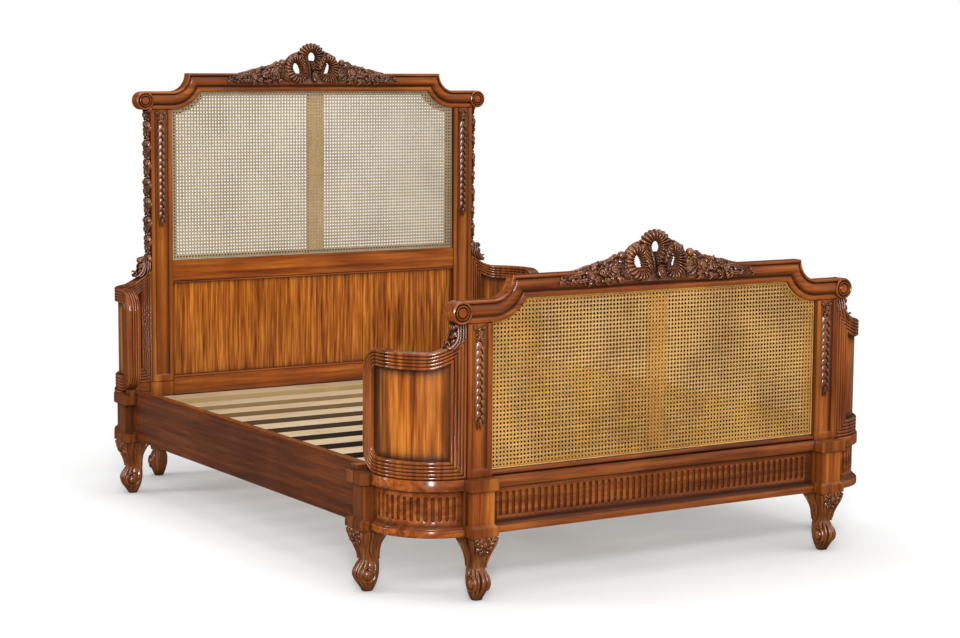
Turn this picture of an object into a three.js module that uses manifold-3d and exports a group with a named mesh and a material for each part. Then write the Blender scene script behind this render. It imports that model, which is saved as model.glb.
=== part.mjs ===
// Carved double bed with cane-panelled head and foot boards, curved reeded wings,
// fluted plinths, cabriole legs, side rails and a slatted base.
// Millimetres, +Z up. X runs across the bed, +Y points to the headboard, and the
// origin is on the floor below the middle of the bed.
import * as THREE from "three";
import { mergeVertices } from "three/addons/utils/BufferGeometryUtils.js";
import Module from "manifold-3d";

// Fit between pieces
const seat = 0.3; // gap that every glued or bolted joint keeps

// Bed
const bedLength = 2211; // over the pedestal blocks of the two boards
const openingHalf = 581; // half the clear width between a board's posts
const postWidth = 80;
const postDepth = 40;
const sideRailHeight = 172;
const sideRailThickness = 32;
const sideRailLift = 4; // side rail's lower edge above the top of the legs
const railEdge = 5; // moulded edge of the rails

// Plinth
const legHeight = 182;
const baseHeight = 30;
const friezeHeight = 98;
const capHeight = 32;
const blockDepth = 40; // how far a pedestal block stands in front of its post
const blockOverhang = 10; // how far the block is wider than the post, outwards
const blockInset = 9; // how far a block's die sits behind its mouldings
const capSetback = 36; // front of the plinth cap behind the block's face
const friezeInset = 14; // fluted frieze behind the cap
const baseProjection = 2; // base moulding in front of the cap
const ogee = 5; // height of the curve between a moulding and a die
const arcRadius = 178; // plinth cap's outer radius at the corner
const plinthThickness = 41; // curved plinth, cap to inner face
const arcRun = 26; // straight run between the arc and the end block
const endBlockLength = 100;
const endBlockWidth = 70;
const endDieLength = 60;
const stepHeight = 15; // small step on an end block's cap

// Flutes of the frieze
const fluteWidth = 11;
const fluteDepth = 4;
const flutePitch = 21.8;
const fluteMargin = 12; // plain band above and below a flute

// Wings
const wingThickness = 44;
const wingHeight = 350;
const wingLap = 60; // how far a wing runs on over its end block
const wingBand = 47; // width of the reeded band, top and bottom
const wingStile = 51; // width of the reeded band at the post
const wingEdge = 46; // width of the reeded band at the free edge
const wingCorner = 70; // outer radius of the free corners
const wingSweepRise = 44; // how far the top climbs towards the post
const wingSweepRun = 110; // length over which it climbs
const wingPanelThickness = 18;
const reedCount = 5;
const reedDepth = 4.5;

// Boards
const footBoardHeight = 554; // crest rail's top above the plinth
const headBoardHeight = 1082;
const bottomRailHeight = 16;
const midRailHeight = 79;
const lowerPanelHeight = 330;
const lowerPanelThickness = 14;
const caneThickness = 2;
const muntinWidth = 62;
const muntinThickness = 16;
const muntinProud = 2.5; // how far the muntin's face stands in front of the board's middle

// Crest rail
const crestHeight = 64;
const crestDepth = 44;
const sweepRadius = 63; // radius of the cove in the rail's top outline
const sweepOutset = 4; // cove's centre inside the post's inner face
const voluteRadius = 32;
const voluteOutset = 20; // volute's centre outside the post's outer face
const voluteEye = 11; // radius of the boss in its middle
const volutePad = 3; // how far the boss stands proud and the face is sunk
const crestHousingHalf = 115; // half length of the housing for the carved crest
const crestHousingDepth = 14;

// Carved crest, with heights above the top of its rail
const crestThickness = 46;
const crestProud = 10; // how far the rings stand in front of the rail
const tailProud = 6;
const topRing = { x: 0, z: 59, radius: 51, hole: [15, 17], lean: 0 };
const sideRing = { x: 60, z: 15, radius: 53, hole: [14, 20], lean: 20 }; // lean outwards, degrees
const ringLip = 8; // depth from a ring's crown back to its two edges
const tailStart = 85;
const tailReach = 345; // half length over the leaf tails
const leafTail = [
  // outline of a leaf tail: share of the way out along it, height
  [0, 45],
  [0.1, 55],
  [0.17, 46],
  [0.23, 34],
  [0.42, 22],
  [0.62, 14],
  [0.9, 4],
  [1, -22],
  [0.96, -30],
  [0.63, -40],
  [0, -40],
];

// Posts and their carving
const filletWidth = 15;
const postRecess = 6;
const recessFoot = 26; // plain foot of a post below its sunk panel
const huskWidth = 34;
const huskDepth = 9;
const huskTopGap = 12;
const footHusks = 10;
const footHuskPitch = 30;
const headHusks = 11;
const headHuskPitch = 36;

// Wing scrolls and side garlands
const scrollReach = 60;
const scrollThickness = 34;
const scrollRest = 1.5; // scroll's underside above the wing
const scrollTip = 9; // height of the scroll's free tip
const scrollWaist = 16; // height at which the scroll is narrowest
const garlandRise = 90; // where the garland starts above the wing
const garlandTail = 30; // how far it runs on below its first flower
const garlandProjection = 20;
const garlandPitch = 77;
const garlandHalf = 15; // half width of a flower, front to back
const stemHalf = 9; // half width of the stem between two flowers

// Legs
const legWidth = 84; // at the top
const legDepth = 105;
const legSections = [
  // share of the height, then front, back and width as shares of the size at the top
  [1, 0.01, 1, 1],
  [0.93, 0.02, 0.9, 0.95],
  [0.86, 0.05, 0.8, 0.85],
  [0.76, 0.11, 0.73, 0.69],
  [0.65, 0.2, 0.71, 0.52],
  [0.51, 0.28, 0.7, 0.38],
  [0.43, 0.14, 0.72, 0.5],
  [0.28, 0.03, 0.72, 0.58],
  [0.12, 0.18, 0.64, 0.48],
  [0, 0.3, 0.53, 0.32],
];
const toeEye = { depth: 36, height: 46, radius: 13, proud: 3 }; // round boss on both sides

// Slatted base
const slatTop = 290;
const slatThickness = 20;
const slatWidth = 90;
const slatPitch = 172;
const slatCount = 10; // full-length slats, with one shorter slat beyond each end
const endSlatOffset = 140; // short slat's middle in from the end of the bed
const endSlatHalf = 730;
const ledgerWidth = 30;
const ledgerHeight = 40;
const centreRailWidth = 50;
const centreRailHeight = 70;

// Places across a board, from its middle outwards
const postOuter = openingHalf + postWidth;
const blockOuter = postOuter + blockOverhang;
const arcCentreX = blockOuter;
const sideRailInner = arcCentreX + arcRadius - plinthThickness;
const sideRailOuter = sideRailInner + sideRailThickness;
const endBlockOuter = sideRailInner + endBlockWidth;

// Depths in a board, from the blocks' outer face inwards
const postFront = blockDepth;
const postBack = postFront + postDepth;
const boardMiddle = postFront + postDepth / 2;
const arcCentreY = capSetback + arcRadius;
const endBlockFront = arcCentreY + arcRun;
const endBlockBack = endBlockFront + endBlockLength;
const wingRadius = arcCentreY - postFront; // outer face flush with the post
const wingInnerRadius = wingRadius - wingThickness;
const wingEndRun = arcRun + wingLap;

// Heights
const baseTop = legHeight + baseHeight;
const friezeTop = baseTop + friezeHeight;
const plinthTop = friezeTop + capHeight;
const wingBottom = plinthTop + seat;
const wingTop = plinthTop + wingHeight;
const footRailTop = plinthTop + footBoardHeight;
const headRailTop = plinthTop + headBoardHeight;
const voluteX = postOuter + voluteOutset;
const sweepCentreX = openingHalf - sweepOutset;
const sideRailBottom = legHeight + sideRailLift;
const ledgerTop = slatTop - slatThickness - seat;

// Finishes
const finish = (color, roughness) =>
  new THREE.MeshStandardMaterial({ color, roughness, metalness: 0 });
const colours = {
  mahogany: [0x7a3416, 0.28],
  dark: [0x4a1f10, 0.3],
  veneer: [0x9a5220, 0.22],
  carving: [0x5c2610, 0.32],
  cane: [0xc8a468, 0.6],
  pine: [0xd9bd8c, 0.7],
};

const wasm = await Module();
wasm.setup();

const degrees = THREE.MathUtils.degToRad;

// Solid that manifold-3d can join or cut
function toSolid(geometry) {
  const bare = new THREE.BufferGeometry();
  const flat = geometry.index ? geometry.toNonIndexed() : geometry;
  bare.setAttribute("position", flat.getAttribute("position"));
  const merged = mergeVertices(bare, 1e-4);
  const index = merged.index.array;
  const triVerts = [];
  for (let i = 0; i < index.length; i += 3) {
    const [a, b, c] = [index[i], index[i + 1], index[i + 2]];
    if (a !== b && b !== c && c !== a) triVerts.push(a, b, c);
  }
  const mesh = new wasm.Mesh({
    numProp: 3,
    vertProperties: new Float32Array(merged.getAttribute("position").array),
    triVerts: new Uint32Array(triVerts),
  });
  return new wasm.Manifold(mesh);
}

function toGeometry(solid) {
  const mesh = solid.getMesh();
  const geometry = new THREE.BufferGeometry();
  geometry.setAttribute("position", new THREE.BufferAttribute(mesh.vertProperties, 3));
  geometry.setIndex(new THREE.BufferAttribute(mesh.triVerts, 1));
  return geometry;
}

function joined(first, ...others) {
  return toGeometry(others.reduce((sum, other) => sum.add(toSolid(other)), toSolid(first)));
}

function cutBy(body, ...tools) {
  return toGeometry(tools.reduce((rest, tool) => rest.subtract(toSolid(tool)), toSolid(body)));
}

// Faces turned outwards, whichever way round they were made
function outward(geometry) {
  const place = geometry.getAttribute("position");
  const index = geometry.index.array;
  const [a, b, c] = [new THREE.Vector3(), new THREE.Vector3(), new THREE.Vector3()];
  let volume = 0;
  for (let i = 0; i < index.length; i += 3) {
    a.fromBufferAttribute(place, index[i]);
    b.fromBufferAttribute(place, index[i + 1]);
    c.fromBufferAttribute(place, index[i + 2]);
    volume += a.dot(b.cross(c));
  }
  if (volume < 0) {
    for (let i = 0; i < index.length; i += 3) {
      [index[i + 1], index[i + 2]] = [index[i + 2], index[i + 1]];
    }
  }
  return geometry;
}

// Skin over rings of equally many [x, y, z] points, closed at both ends or into a loop
function skin(rings, loop = false) {
  const size = rings[0].length;
  const points = rings.flat();
  const index = [];
  const spans = loop ? rings.length : rings.length - 1;
  for (let i = 0; i < spans; i++) {
    const near = i * size;
    const far = ((i + 1) % rings.length) * size;
    for (let j = 0; j < size; j++) {
      const k = (j + 1) % size;
      index.push(near + j, near + k, far + k, near + j, far + k, far + j);
    }
  }
  if (!loop) {
    const last = (rings.length - 1) * size;
    for (let j = 0, k = size - 1; k - j > 1; j++, k--) {
      index.push(j, k, j + 1, last + j, last + j + 1, last + k);
      if (k - 1 > j + 1) index.push(j + 1, k, k - 1, last + j + 1, last + k - 1, last + k);
    }
  }
  const geometry = new THREE.BufferGeometry();
  geometry.setAttribute("position", new THREE.Float32BufferAttribute(points.flat(), 3));
  geometry.setIndex(index);
  return outward(geometry);
}

// Plan outline of [x, y] points raised from one height to another
function upright(outline, bottom, top) {
  const shape = new THREE.Shape(outline.map(([x, y]) => new THREE.Vector2(x, y)));
  const depth = top - bottom;
  return new THREE.ExtrudeGeometry(shape, { depth, bevelEnabled: false }).translate(0, 0, bottom);
}

// Front outline of [x, z] points carried from one depth to another
function upstanding(outline, front, back) {
  const shape = new THREE.Shape(outline.map(([x, z]) => new THREE.Vector2(x, z)));
  const depth = back - front;
  const body = new THREE.ExtrudeGeometry(shape, { depth, bevelEnabled: false });
  return body.rotateX(Math.PI / 2).translate(0, back, 0);
}

// Section of [y, z] points carried along X
function lengthwise(section, left, right) {
  return skin([left, right].map((x) => section.map(([y, z]) => [x, y, z])));
}

function block(x0, x1, y0, y1, z0, z1) {
  const body = new THREE.BoxGeometry(x1 - x0, y1 - y0, z1 - z0);
  return body.translate((x0 + x1) / 2, (y0 + y1) / 2, (z0 + z1) / 2);
}

// The same solid on the other side of a board's middle line
function mirrored(geometry) {
  const copy = geometry.clone().scale(-1, 1, 1);
  if (!copy.index) copy.setIndex([...Array(copy.getAttribute("position").count).keys()]);
  return outward(copy);
}

// The same solid with its show face turned to the other side of the board
function turnedAbout(geometry) {
  const copy = geometry.clone().scale(1, -1, 1).translate(0, 2 * boardMiddle, 0);
  if (!copy.index) copy.setIndex([...Array(copy.getAttribute("position").count).keys()]);
  return outward(copy);
}

// A board's show face looks outwards on the foot board and into the room on the head board
function shown(geometry, showOutside) {
  return showOutside ? geometry : turnedAbout(geometry);
}

// Carved drop of bell husks, hanging down a post from the top, smaller towards its tip
function huskDrop(x, top, count, pitch, face) {
  const ring = (z, width, depth) => [
    [x - width / 2, face + 1, z],
    [x, face - depth, z],
    [x + width / 2, face + 1, z],
  ];
  const rings = [];
  for (let i = 0; i < count; i++) {
    const size = 1 - (0.35 * i) / count;
    const z = top - i * pitch;
    rings.push(ring(z, huskWidth * 0.4 * size, huskDepth * 0.5));
    rings.push(ring(z - pitch * 0.8, huskWidth * size, huskDepth * size));
  }
  rings.push(ring(top - count * pitch, huskWidth * 0.1, huskDepth * 0.3));
  return skin(rings);
}

// Post: a sunk panel between two fillets on both faces, with the husk drop on its show face
function postGeometry(top, husks, pitch) {
  const foot = upright(
    [
      [openingHalf, postFront],
      [blockOuter, postFront],
      [blockOuter, postBack],
      [openingHalf, postBack],
    ],
    legHeight,
    plinthTop,
  );
  const shaft = upright(
    [
      [openingHalf, postFront],
      [postOuter, postFront],
      [postOuter, postBack],
      [openingHalf, postBack],
    ],
    plinthTop - 1,
    top,
  );
  const left = openingHalf + filletWidth;
  const right = postOuter - filletWidth;
  const low = plinthTop + recessFoot;
  const frontPanel = block(left, right, postFront - 1, postFront + postRecess, low, top + 1);
  const backPanel = block(left, right, postBack - postRecess, postBack + 1, low, top + 1);
  const bare = cutBy(joined(foot, shaft), frontPanel, backPanel);
  const middle = (left + right) / 2;
  return joined(bare, huskDrop(middle, top - huskTopGap, husks, pitch, postFront + postRecess));
}

// Outer profile that the straight and the curved plinths share, as [setback, z]
const plinthFace = [
  [0, legHeight],
  [-baseProjection, legHeight + ogee],
  [-baseProjection, baseTop - ogee],
  [friezeInset / 3, baseTop],
  [friezeInset, baseTop + ogee / 2],
  [friezeInset, friezeTop - ogee],
  [friezeInset / 3, friezeTop],
  [0, friezeTop + ogee / 2],
  [0, plinthTop],
];

// Outline of one flute
function fluteOutline(across) {
  const half = fluteWidth / 2;
  const low = baseTop + fluteMargin;
  const high = friezeTop - fluteMargin;
  return [
    [across - half, low],
    [across + half, low],
    [across + half, high],
    [across - half, high],
  ];
}

// Straight plinth between the posts, fluted where it faces into the room
function plinthGeometry(fluted) {
  const half = openingHalf - seat;
  const section = plinthFace.map(([setback, z]) => [capSetback + setback, z]);
  section.push(...plinthFace.toReversed().map(([, z]) => [postBack, z]));
  const front = capSetback + friezeInset;
  const count = Math.floor((2 * half - flutePitch) / flutePitch);
  const flutes = [];
  for (let i = 0; i < count; i++) {
    const across = (i - (count - 1) / 2) * flutePitch;
    flutes.push(upstanding(fluteOutline(across), front - 1, front + fluteDepth));
  }
  const body = lengthwise(section, -half, half);
  return fluted ? cutBy(body, ...flutes) : body;
}

// Quarter-round fluted plinth under a wing, from the post's side to the end block
function curvedPlinthGeometry() {
  const profile = plinthFace.map(([setback, z]) => [arcRadius - setback, z]);
  const inner = arcRadius - plinthThickness;
  profile.push(...plinthFace.toReversed().map(([, z]) => [inner, z]));
  const inDie = (z) => z > baseTop && z < friezeTop;
  const rings = [];
  rings.push(profile.map(([r, z]) => [blockOuter + seat, arcCentreY - r, z]));
  for (let turn = 15; turn <= 90; turn += 15) {
    const [s, c] = [Math.sin(degrees(turn)), Math.cos(degrees(turn))];
    rings.push(profile.map(([r, z]) => [arcCentreX + r * s, arcCentreY - r * c, z]));
  }
  const end = (z) => endBlockFront - seat + (inDie(z) ? blockInset : 0);
  rings.push(profile.map(([r, z]) => [arcCentreX + r, end(z), z]));
  const radius = arcRadius - friezeInset;
  const step = flutePitch / radius;
  const count = Math.floor(Math.PI / 2 / step);
  const flutes = [];
  for (let i = 0; i < count; i++) {
    const turn = Math.PI / 4 + (i - (count - 1) / 2) * step;
    const tool = upstanding(fluteOutline(0), -radius - 2, -radius + fluteDepth);
    flutes.push(tool.rotateZ(turn).translate(arcCentreX, arcCentreY, 0));
  }
  return cutBy(skin(rings), ...flutes);
}

// Pedestal block in front of a post: base and cap mouldings round a plain die
function pedestalGeometry() {
  const back = blockDepth - seat;
  const ring = (inset, z) => [
    [openingHalf + inset, inset, z],
    [blockOuter - inset, inset, z],
    [blockOuter - inset, back, z],
    [openingHalf + inset, back, z],
  ];
  return skin([
    ring(0, legHeight),
    ring(0, baseTop - ogee),
    ring(blockInset, baseTop + ogee / 2),
    ring(blockInset, friezeTop - ogee),
    ring(0, friezeTop),
    ring(0, plinthTop),
  ]);
}

// End block that takes the side rail, with a shorter die and a small step on its cap
function endBlockGeometry() {
  const ring = (inset, back, z) => [
    [sideRailInner, endBlockFront + inset, z],
    [endBlockOuter - inset, endBlockFront + inset, z],
    [endBlockOuter - inset, back - seat, z],
    [sideRailOuter + (inset ? 0 : blockInset), back - seat, z],
    [sideRailOuter, endBlockBack, z],
    [sideRailInner, endBlockBack, z],
  ];
  const dieBack = endBlockFront + blockInset + endDieLength;
  const body = skin([
    ring(0, endBlockBack, legHeight),
    ring(0, endBlockBack, baseTop - ogee),
    ring(blockInset, dieBack, baseTop + ogee / 2),
    ring(blockInset, dieBack, friezeTop - ogee),
    ring(0, endBlockBack, friezeTop),
    ring(0, endBlockBack, plinthTop),
  ]);
  const step = block(
    sideRailInner + ogee,
    endBlockOuter - 2 * blockInset,
    endBlockFront + wingLap + seat,
    endBlockBack - 1,
    plinthTop - 1,
    plinthTop + stepHeight,
  );
  return joined(body, step);
}

// Place on a wing: s along its outer face from the post, r from the arc's centre, z up
function wingPoint(s, r, z) {
  const arc = s - blockOverhang;
  const turn = arc / wingRadius;
  if (arc < 0) return [postOuter + seat + s, arcCentreY - r, z];
  if (turn > Math.PI / 2) {
    return [arcCentreX + r, arcCentreY + arc - (wingRadius * Math.PI) / 2, z];
  }
  return [arcCentreX + seat + r * Math.sin(turn), arcCentreY - r * Math.cos(turn), z];
}

const wingLength = blockOverhang + (wingRadius * Math.PI) / 2 + wingEndRun;

function wingTopAt(s) {
  const climb = Math.max(0, 1 - s / wingSweepRun);
  return wingTop + wingSweepRise * Math.pow(climb, 1.4);
}

// Outer and inner edge of the reeded band, as pairs of [s, z], all the way round a wing
function wingBandStations() {
  const quarter = (wingRadius * Math.PI) / 12;
  const low = wingBottom;
  const stations = [];
  const run = [];
  for (let i = 2; i <= 6; i++) run.push(blockOverhang + i * quarter);
  const bottomBand = low + wingBand + 4;
  stations.push([[0, low], [wingStile, bottomBand]]);
  stations.push([[wingStile, low], [(wingStile + run[0]) / 2, bottomBand]]);
  for (const s of run) stations.push([[s, low], [s, bottomBand]]);
  const hub = wingLength - wingCorner;
  const innerCorner = wingCorner - wingEdge;
  const lift = bottomBand - low - (wingCorner - innerCorner);
  for (let turn = 0; turn <= 90; turn += 30) {
    const [s, c] = [Math.sin(degrees(turn)), Math.cos(degrees(turn))];
    const rise = low + wingCorner - wingCorner * c;
    const innerRise = low + wingCorner + lift - innerCorner * c;
    stations.push([[hub + wingCorner * s, rise], [hub + innerCorner * s, innerRise]]);
  }
  for (let turn = 90; turn >= 0; turn -= 30) {
    const [s, c] = [Math.sin(degrees(turn)), Math.cos(degrees(turn))];
    const rise = wingTop - wingCorner + wingCorner * c;
    const innerRise = wingTop - wingBand - innerCorner + innerCorner * c;
    stations.push([[hub + wingCorner * s, rise], [hub + innerCorner * s, innerRise]]);
  }
  for (const s of run.toReversed()) {
    stations.push([[s, wingTopAt(s)], [s, wingTopAt(s) - wingBand]]);
  }
  const near = (wingStile + run[0]) / 2;
  stations.push([[wingStile, wingTopAt(wingStile)], [near, wingTopAt(near) - wingBand]]);
  stations.push([[0, wingTopAt(0)], [wingStile, wingTopAt(wingStile) - wingBand]]);
  return stations;
}

// Frame of a wing, bent round the corner, with reeds on both faces
function wingFrameGeometry() {
  const outside = [[0, wingRadius - reedDepth]];
  for (let i = 0; i < reedCount; i++) {
    outside.push([(i + 0.5) / reedCount, wingRadius]);
    outside.push([(i + 1) / reedCount, wingRadius - reedDepth]);
  }
  const opposite = wingRadius + wingInnerRadius;
  const section = [...outside, ...outside.map(([f, r]) => [f, opposite - r]).reverse()];
  const rings = wingBandStations().map(([outer, inner]) =>
    section.map(([f, r]) => {
      const s = outer[0] + (inner[0] - outer[0]) * f;
      const z = outer[1] + (inner[1] - outer[1]) * f;
      return wingPoint(s, r, z);
    }),
  );
  return skin(rings, true);
}

// Veneered panel inside the reeded frame
function wingPanelGeometry() {
  const inner = wingBandStations().map(([, edge]) => edge);
  const half = inner.length / 2;
  const outerFace = (wingRadius + wingInnerRadius + wingPanelThickness) / 2;
  const innerFace = outerFace - wingPanelThickness;
  const rings = [];
  for (let i = 0; i < half; i++) {
    const [s, low] = inner[i];
    const high = inner[inner.length - 1 - i][1];
    const inset = i === 0 ? seat : 0;
    const back = i >= half - 2 ? -seat : 0;
    const place = s + inset + back;
    rings.push([
      wingPoint(place, outerFace, low + seat),
      wingPoint(place, outerFace, high - seat),
      wingPoint(place, innerFace, high - seat),
      wingPoint(place, innerFace, low + seat),
    ]);
  }
  return skin(rings);
}

// Upper and lower outline of a crest rail, as pairs of [x, z] from left to right
function crestStations(railTop) {
  const level = railTop - sweepRadius;
  const lowerRadius = sweepRadius + crestHeight;
  const lastTurn = Math.acos(crestHeight / lowerRadius);
  const right = [];
  const housing = railTop - crestHousingDepth;
  right.push([[crestHousingHalf - 0.1, housing], [crestHousingHalf - 0.1, railTop - crestHeight]]);
  right.push([[crestHousingHalf, railTop], [crestHousingHalf, railTop - crestHeight]]);
  for (let i = 5; i >= 0; i--) {
    const top = (Math.PI / 2) * (i / 5);
    const low = lastTurn * (i / 5);
    right.push([
      [sweepCentreX - sweepRadius * Math.sin(top), railTop - sweepRadius * Math.cos(top)],
      [sweepCentreX - lowerRadius * Math.sin(low), railTop - lowerRadius * Math.cos(low)],
    ]);
  }
  right.push([[voluteX, level], [voluteX, level - crestHeight]]);
  const left = right.map((pair) => pair.map(([x, z]) => [-x, z])).reverse();
  return [...left, ...right];
}

// Face of the crest rail from top to bottom: share of its height, depth from its middle
const crestProfile = [
  [0, 0.75],
  [0.04, 1],
  [0.14, 0.9],
  [0.45, 0.98],
  [0.72, 0.74],
  [0.8, 0.86],
  [1, 0.74],
];

// Turned volute at a crest rail's end, with a ring and a boss on both faces
function voluteGeometry(x, z) {
  const half = crestDepth / 2;
  const face = [
    [voluteEye, half + volutePad],
    [voluteEye + volutePad, half - volutePad],
    [voluteRadius - 2 * volutePad, half - volutePad],
    [voluteRadius, half + volutePad / 2],
  ];
  const lower = [...face].reverse().map(([r, y]) => [r, -y]);
  const profile = [[0, half + volutePad], ...face, ...lower, [0, -half - volutePad]].reverse();
  const points = profile.map(([r, y]) => new THREE.Vector2(r, y));
  return new THREE.LatheGeometry(points, 12).translate(x, boardMiddle, z);
}

function crestRailGeometry(railTop) {
  const half = crestDepth / 2;
  const rings = crestStations(railTop).map(([top, low]) => {
    const at = (f) => [top[0] + (low[0] - top[0]) * f, top[1] + (low[1] - top[1]) * f];
    const front = crestProfile.map(([f, t]) => [at(f)[0], boardMiddle - t * half, at(f)[1]]);
    const back = crestProfile.map(([f, t]) => [at(f)[0], boardMiddle + t * half, at(f)[1]]);
    return [...front, ...back.reverse()];
  });
  const voluteZ = railTop - sweepRadius - voluteRadius;
  return joined(
    skin(rings),
    voluteGeometry(-voluteX, voluteZ),
    voluteGeometry(voluteX, voluteZ),
  );
}

// Outline of the opening under a crest rail, drawn in by the seat, from a lower edge up
function openingOutline(railTop, bottom) {
  const under = crestStations(railTop)
    .map(([, low]) => low)
    .filter(([x]) => Math.abs(x) > crestHousingHalf && Math.abs(x) < voluteX);
  const edge = openingHalf - seat;
  const side = under[0][1] - seat;
  return [
    [-edge, bottom + seat],
    [edge, bottom + seat],
    [edge, side],
    ...under.toReversed().map(([x, z]) => [x - Math.sign(x) * 0.5 * seat, z - seat]),
    [-edge, side],
  ];
}

// Raised ring of the carved crest, domed, round outside and pierced with a leaning oval
function ringGeometry({ x, z, radius, hole, lean }, railTop, side) {
  const front = boardMiddle - crestDepth / 2 - crestProud;
  const tilt = degrees(lean * side);
  const rings = [];
  for (let turn = 10; turn < 360; turn += 20) {
    const [c, s] = [Math.cos(degrees(turn)), Math.sin(degrees(turn))];
    const oval = [hole[0] * c, hole[1] * s];
    const inner = [
      oval[0] * Math.cos(tilt) + oval[1] * Math.sin(tilt),
      oval[1] * Math.cos(tilt) - oval[0] * Math.sin(tilt),
    ];
    const outer = [radius * Math.cos(degrees(turn) - tilt), radius * Math.sin(degrees(turn) - tilt)];
    const at = (share, depth) => [
      side * x + inner[0] + (outer[0] - inner[0]) * share,
      front + depth,
      railTop + z + inner[1] + (outer[1] - inner[1]) * share,
    ];
    rings.push([at(0, crestThickness), at(0, ringLip), at(0.45, 0), at(1, ringLip), at(1, crestThickness)]);
  }
  return skin(rings, true);
}

// Pierced crest: three overlapping rings and two tapering leaf tails
function crestCarvingGeometry(railTop) {
  const railFace = boardMiddle - crestDepth / 2;
  const front = railFace - crestProud;
  const reach = tailReach - tailStart;
  const tail = leafTail.map(([f, z]) => [tailStart + reach * f, railTop + z]);
  const tailRight = upstanding(tail, railFace - tailProud, front + crestThickness);
  const body = joined(
    ringGeometry(topRing, railTop, 1),
    ringGeometry(sideRing, railTop, -1),
    ringGeometry(sideRing, railTop, 1),
    tailRight,
    mirrored(tailRight),
  );
  const behind = railFace - seat;
  const far = tailReach + seat;
  const deep = front + crestThickness + seat;
  const housing = railTop - crestHousingDepth + seat;
  return cutBy(
    body,
    block(-far, far, behind, deep, railTop - 2 * crestHeight, housing),
    block(-far, -crestHousingHalf + seat, behind, deep, housing - 1, railTop + seat),
    block(crestHousingHalf - seat, far, behind, deep, housing - 1, railTop + seat),
  );
}

// Acanthus scroll that fills the corner between post, wing and volute
function scrollOutline(top) {
  const foot = postOuter + seat;
  const rise = (reach) => wingTopAt(reach) + scrollRest;
  const at = (share, z) => [foot + scrollReach * share, z];
  return [
    at(0, rise(0)),
    at(0.45, rise(scrollReach * 0.4)),
    at(1, rise(scrollReach * 0.9)),
    at(1, rise(scrollReach) + scrollTip),
    at(0.8, rise(scrollReach) + scrollTip * 1.5),
    at(0.5, rise(scrollReach * 0.4) + scrollWaist * 0.75),
    at(0.42, rise(scrollReach * 0.2) + scrollWaist),
    at(0.62, top - scrollTip),
    at(0.55, top),
    at(0, top),
  ];
}

function scrollGeometry(top) {
  const front = boardMiddle - scrollThickness / 2 + 4;
  return upstanding(scrollOutline(top), front, front + scrollThickness);
}

// Garland of flowers down the outer side of a head post, ending in the wing's scroll
function garlandGeometry(top) {
  const foot = postOuter + seat;
  const start = wingTop + garlandRise;
  const count = Math.round((top - start) / garlandPitch);
  const pitch = (top - start) / count;
  const ring = (z, reach, width) => [
    [foot, boardMiddle - width, z],
    [foot + reach * 0.7, boardMiddle - width * 0.8, z],
    [foot + reach, boardMiddle, z],
    [foot + reach * 0.7, boardMiddle + width * 0.8, z],
    [foot, boardMiddle + width, z],
  ];
  const slim = garlandProjection * 0.45;
  const rings = [ring(start - garlandTail, slim, stemHalf)];
  for (let i = 0; i < count; i++) {
    const z = start + i * pitch;
    rings.push(ring(z + pitch * 0.15, slim, stemHalf));
    rings.push(ring(z + pitch * 0.4, garlandProjection, garlandHalf));
    rings.push(ring(z + pitch * 0.65, garlandProjection * 0.9, garlandHalf));
  }
  rings.push(ring(top, slim, stemHalf));
  return joined(skin(rings), scrollGeometry(start));
}

// Cabriole leg with a scroll toe. Y runs inwards from the block's face, X across the leg.
function legGeometry() {
  const rings = legSections.map(([share, near, far, width]) => {
    const z = share * (legHeight - seat);
    const front = near * legDepth;
    const back = far * legDepth;
    const half = (width * legWidth) / 2;
    const corner = Math.min(half, (back - front) / 2) * 0.35;
    return [
      [-half + corner, front, z],
      [half - corner, front, z],
      [half, front + corner, z],
      [half, back - corner, z],
      [half - corner, back, z],
      [-half + corner, back, z],
      [-half, back - corner, z],
      [-half, front + corner, z],
    ];
  });
  const widest = (Math.max(...legSections.slice(-4).map((section) => section[3])) * legWidth) / 2;
  const across = 2 * (widest + toeEye.proud);
  const eye = new THREE.CylinderGeometry(toeEye.radius, toeEye.radius, across, 8).rotateZ(Math.PI / 2);
  return joined(skin(rings), eye.translate(0, toeEye.depth, toeEye.height));
}

const bed = new THREE.Group();

function add(parent, name, geometry, colour) {
  geometry.computeVertexNormals();
  const mesh = new THREE.Mesh(geometry, finish(...colours[colour]));
  mesh.name = name;
  parent.add(mesh);
  return mesh;
}

// A piece on the right of a board and its mirror image on the left
function addPair(parent, prefix, name, geometry, colour, sides) {
  add(parent, `${prefix}_${name}_${sides[1]}`, geometry, colour);
  add(parent, `${prefix}_${name}_${sides[0]}`, mirrored(geometry), colour);
}

const leg = legGeometry();

// Two legs under the posts and two under the end blocks
function addLegs(board, prefix, sides) {
  const across = (openingHalf + blockOuter) / 2;
  const along = (endBlockFront + endBlockBack) / 2;
  sides.forEach((side, i) => {
    const sign = i === 0 ? -1 : 1;
    const post = add(board, `${prefix}_post_leg_${side}`, leg.clone(), "carving");
    post.position.set(sign * across, seat, 0);
    const end = add(board, `${prefix}_end_leg_${side}`, leg.clone(), "carving");
    end.rotation.z = (sign * Math.PI) / 2;
    end.position.set(sign * (endBlockOuter - seat), along, 0);
  });
}

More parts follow.
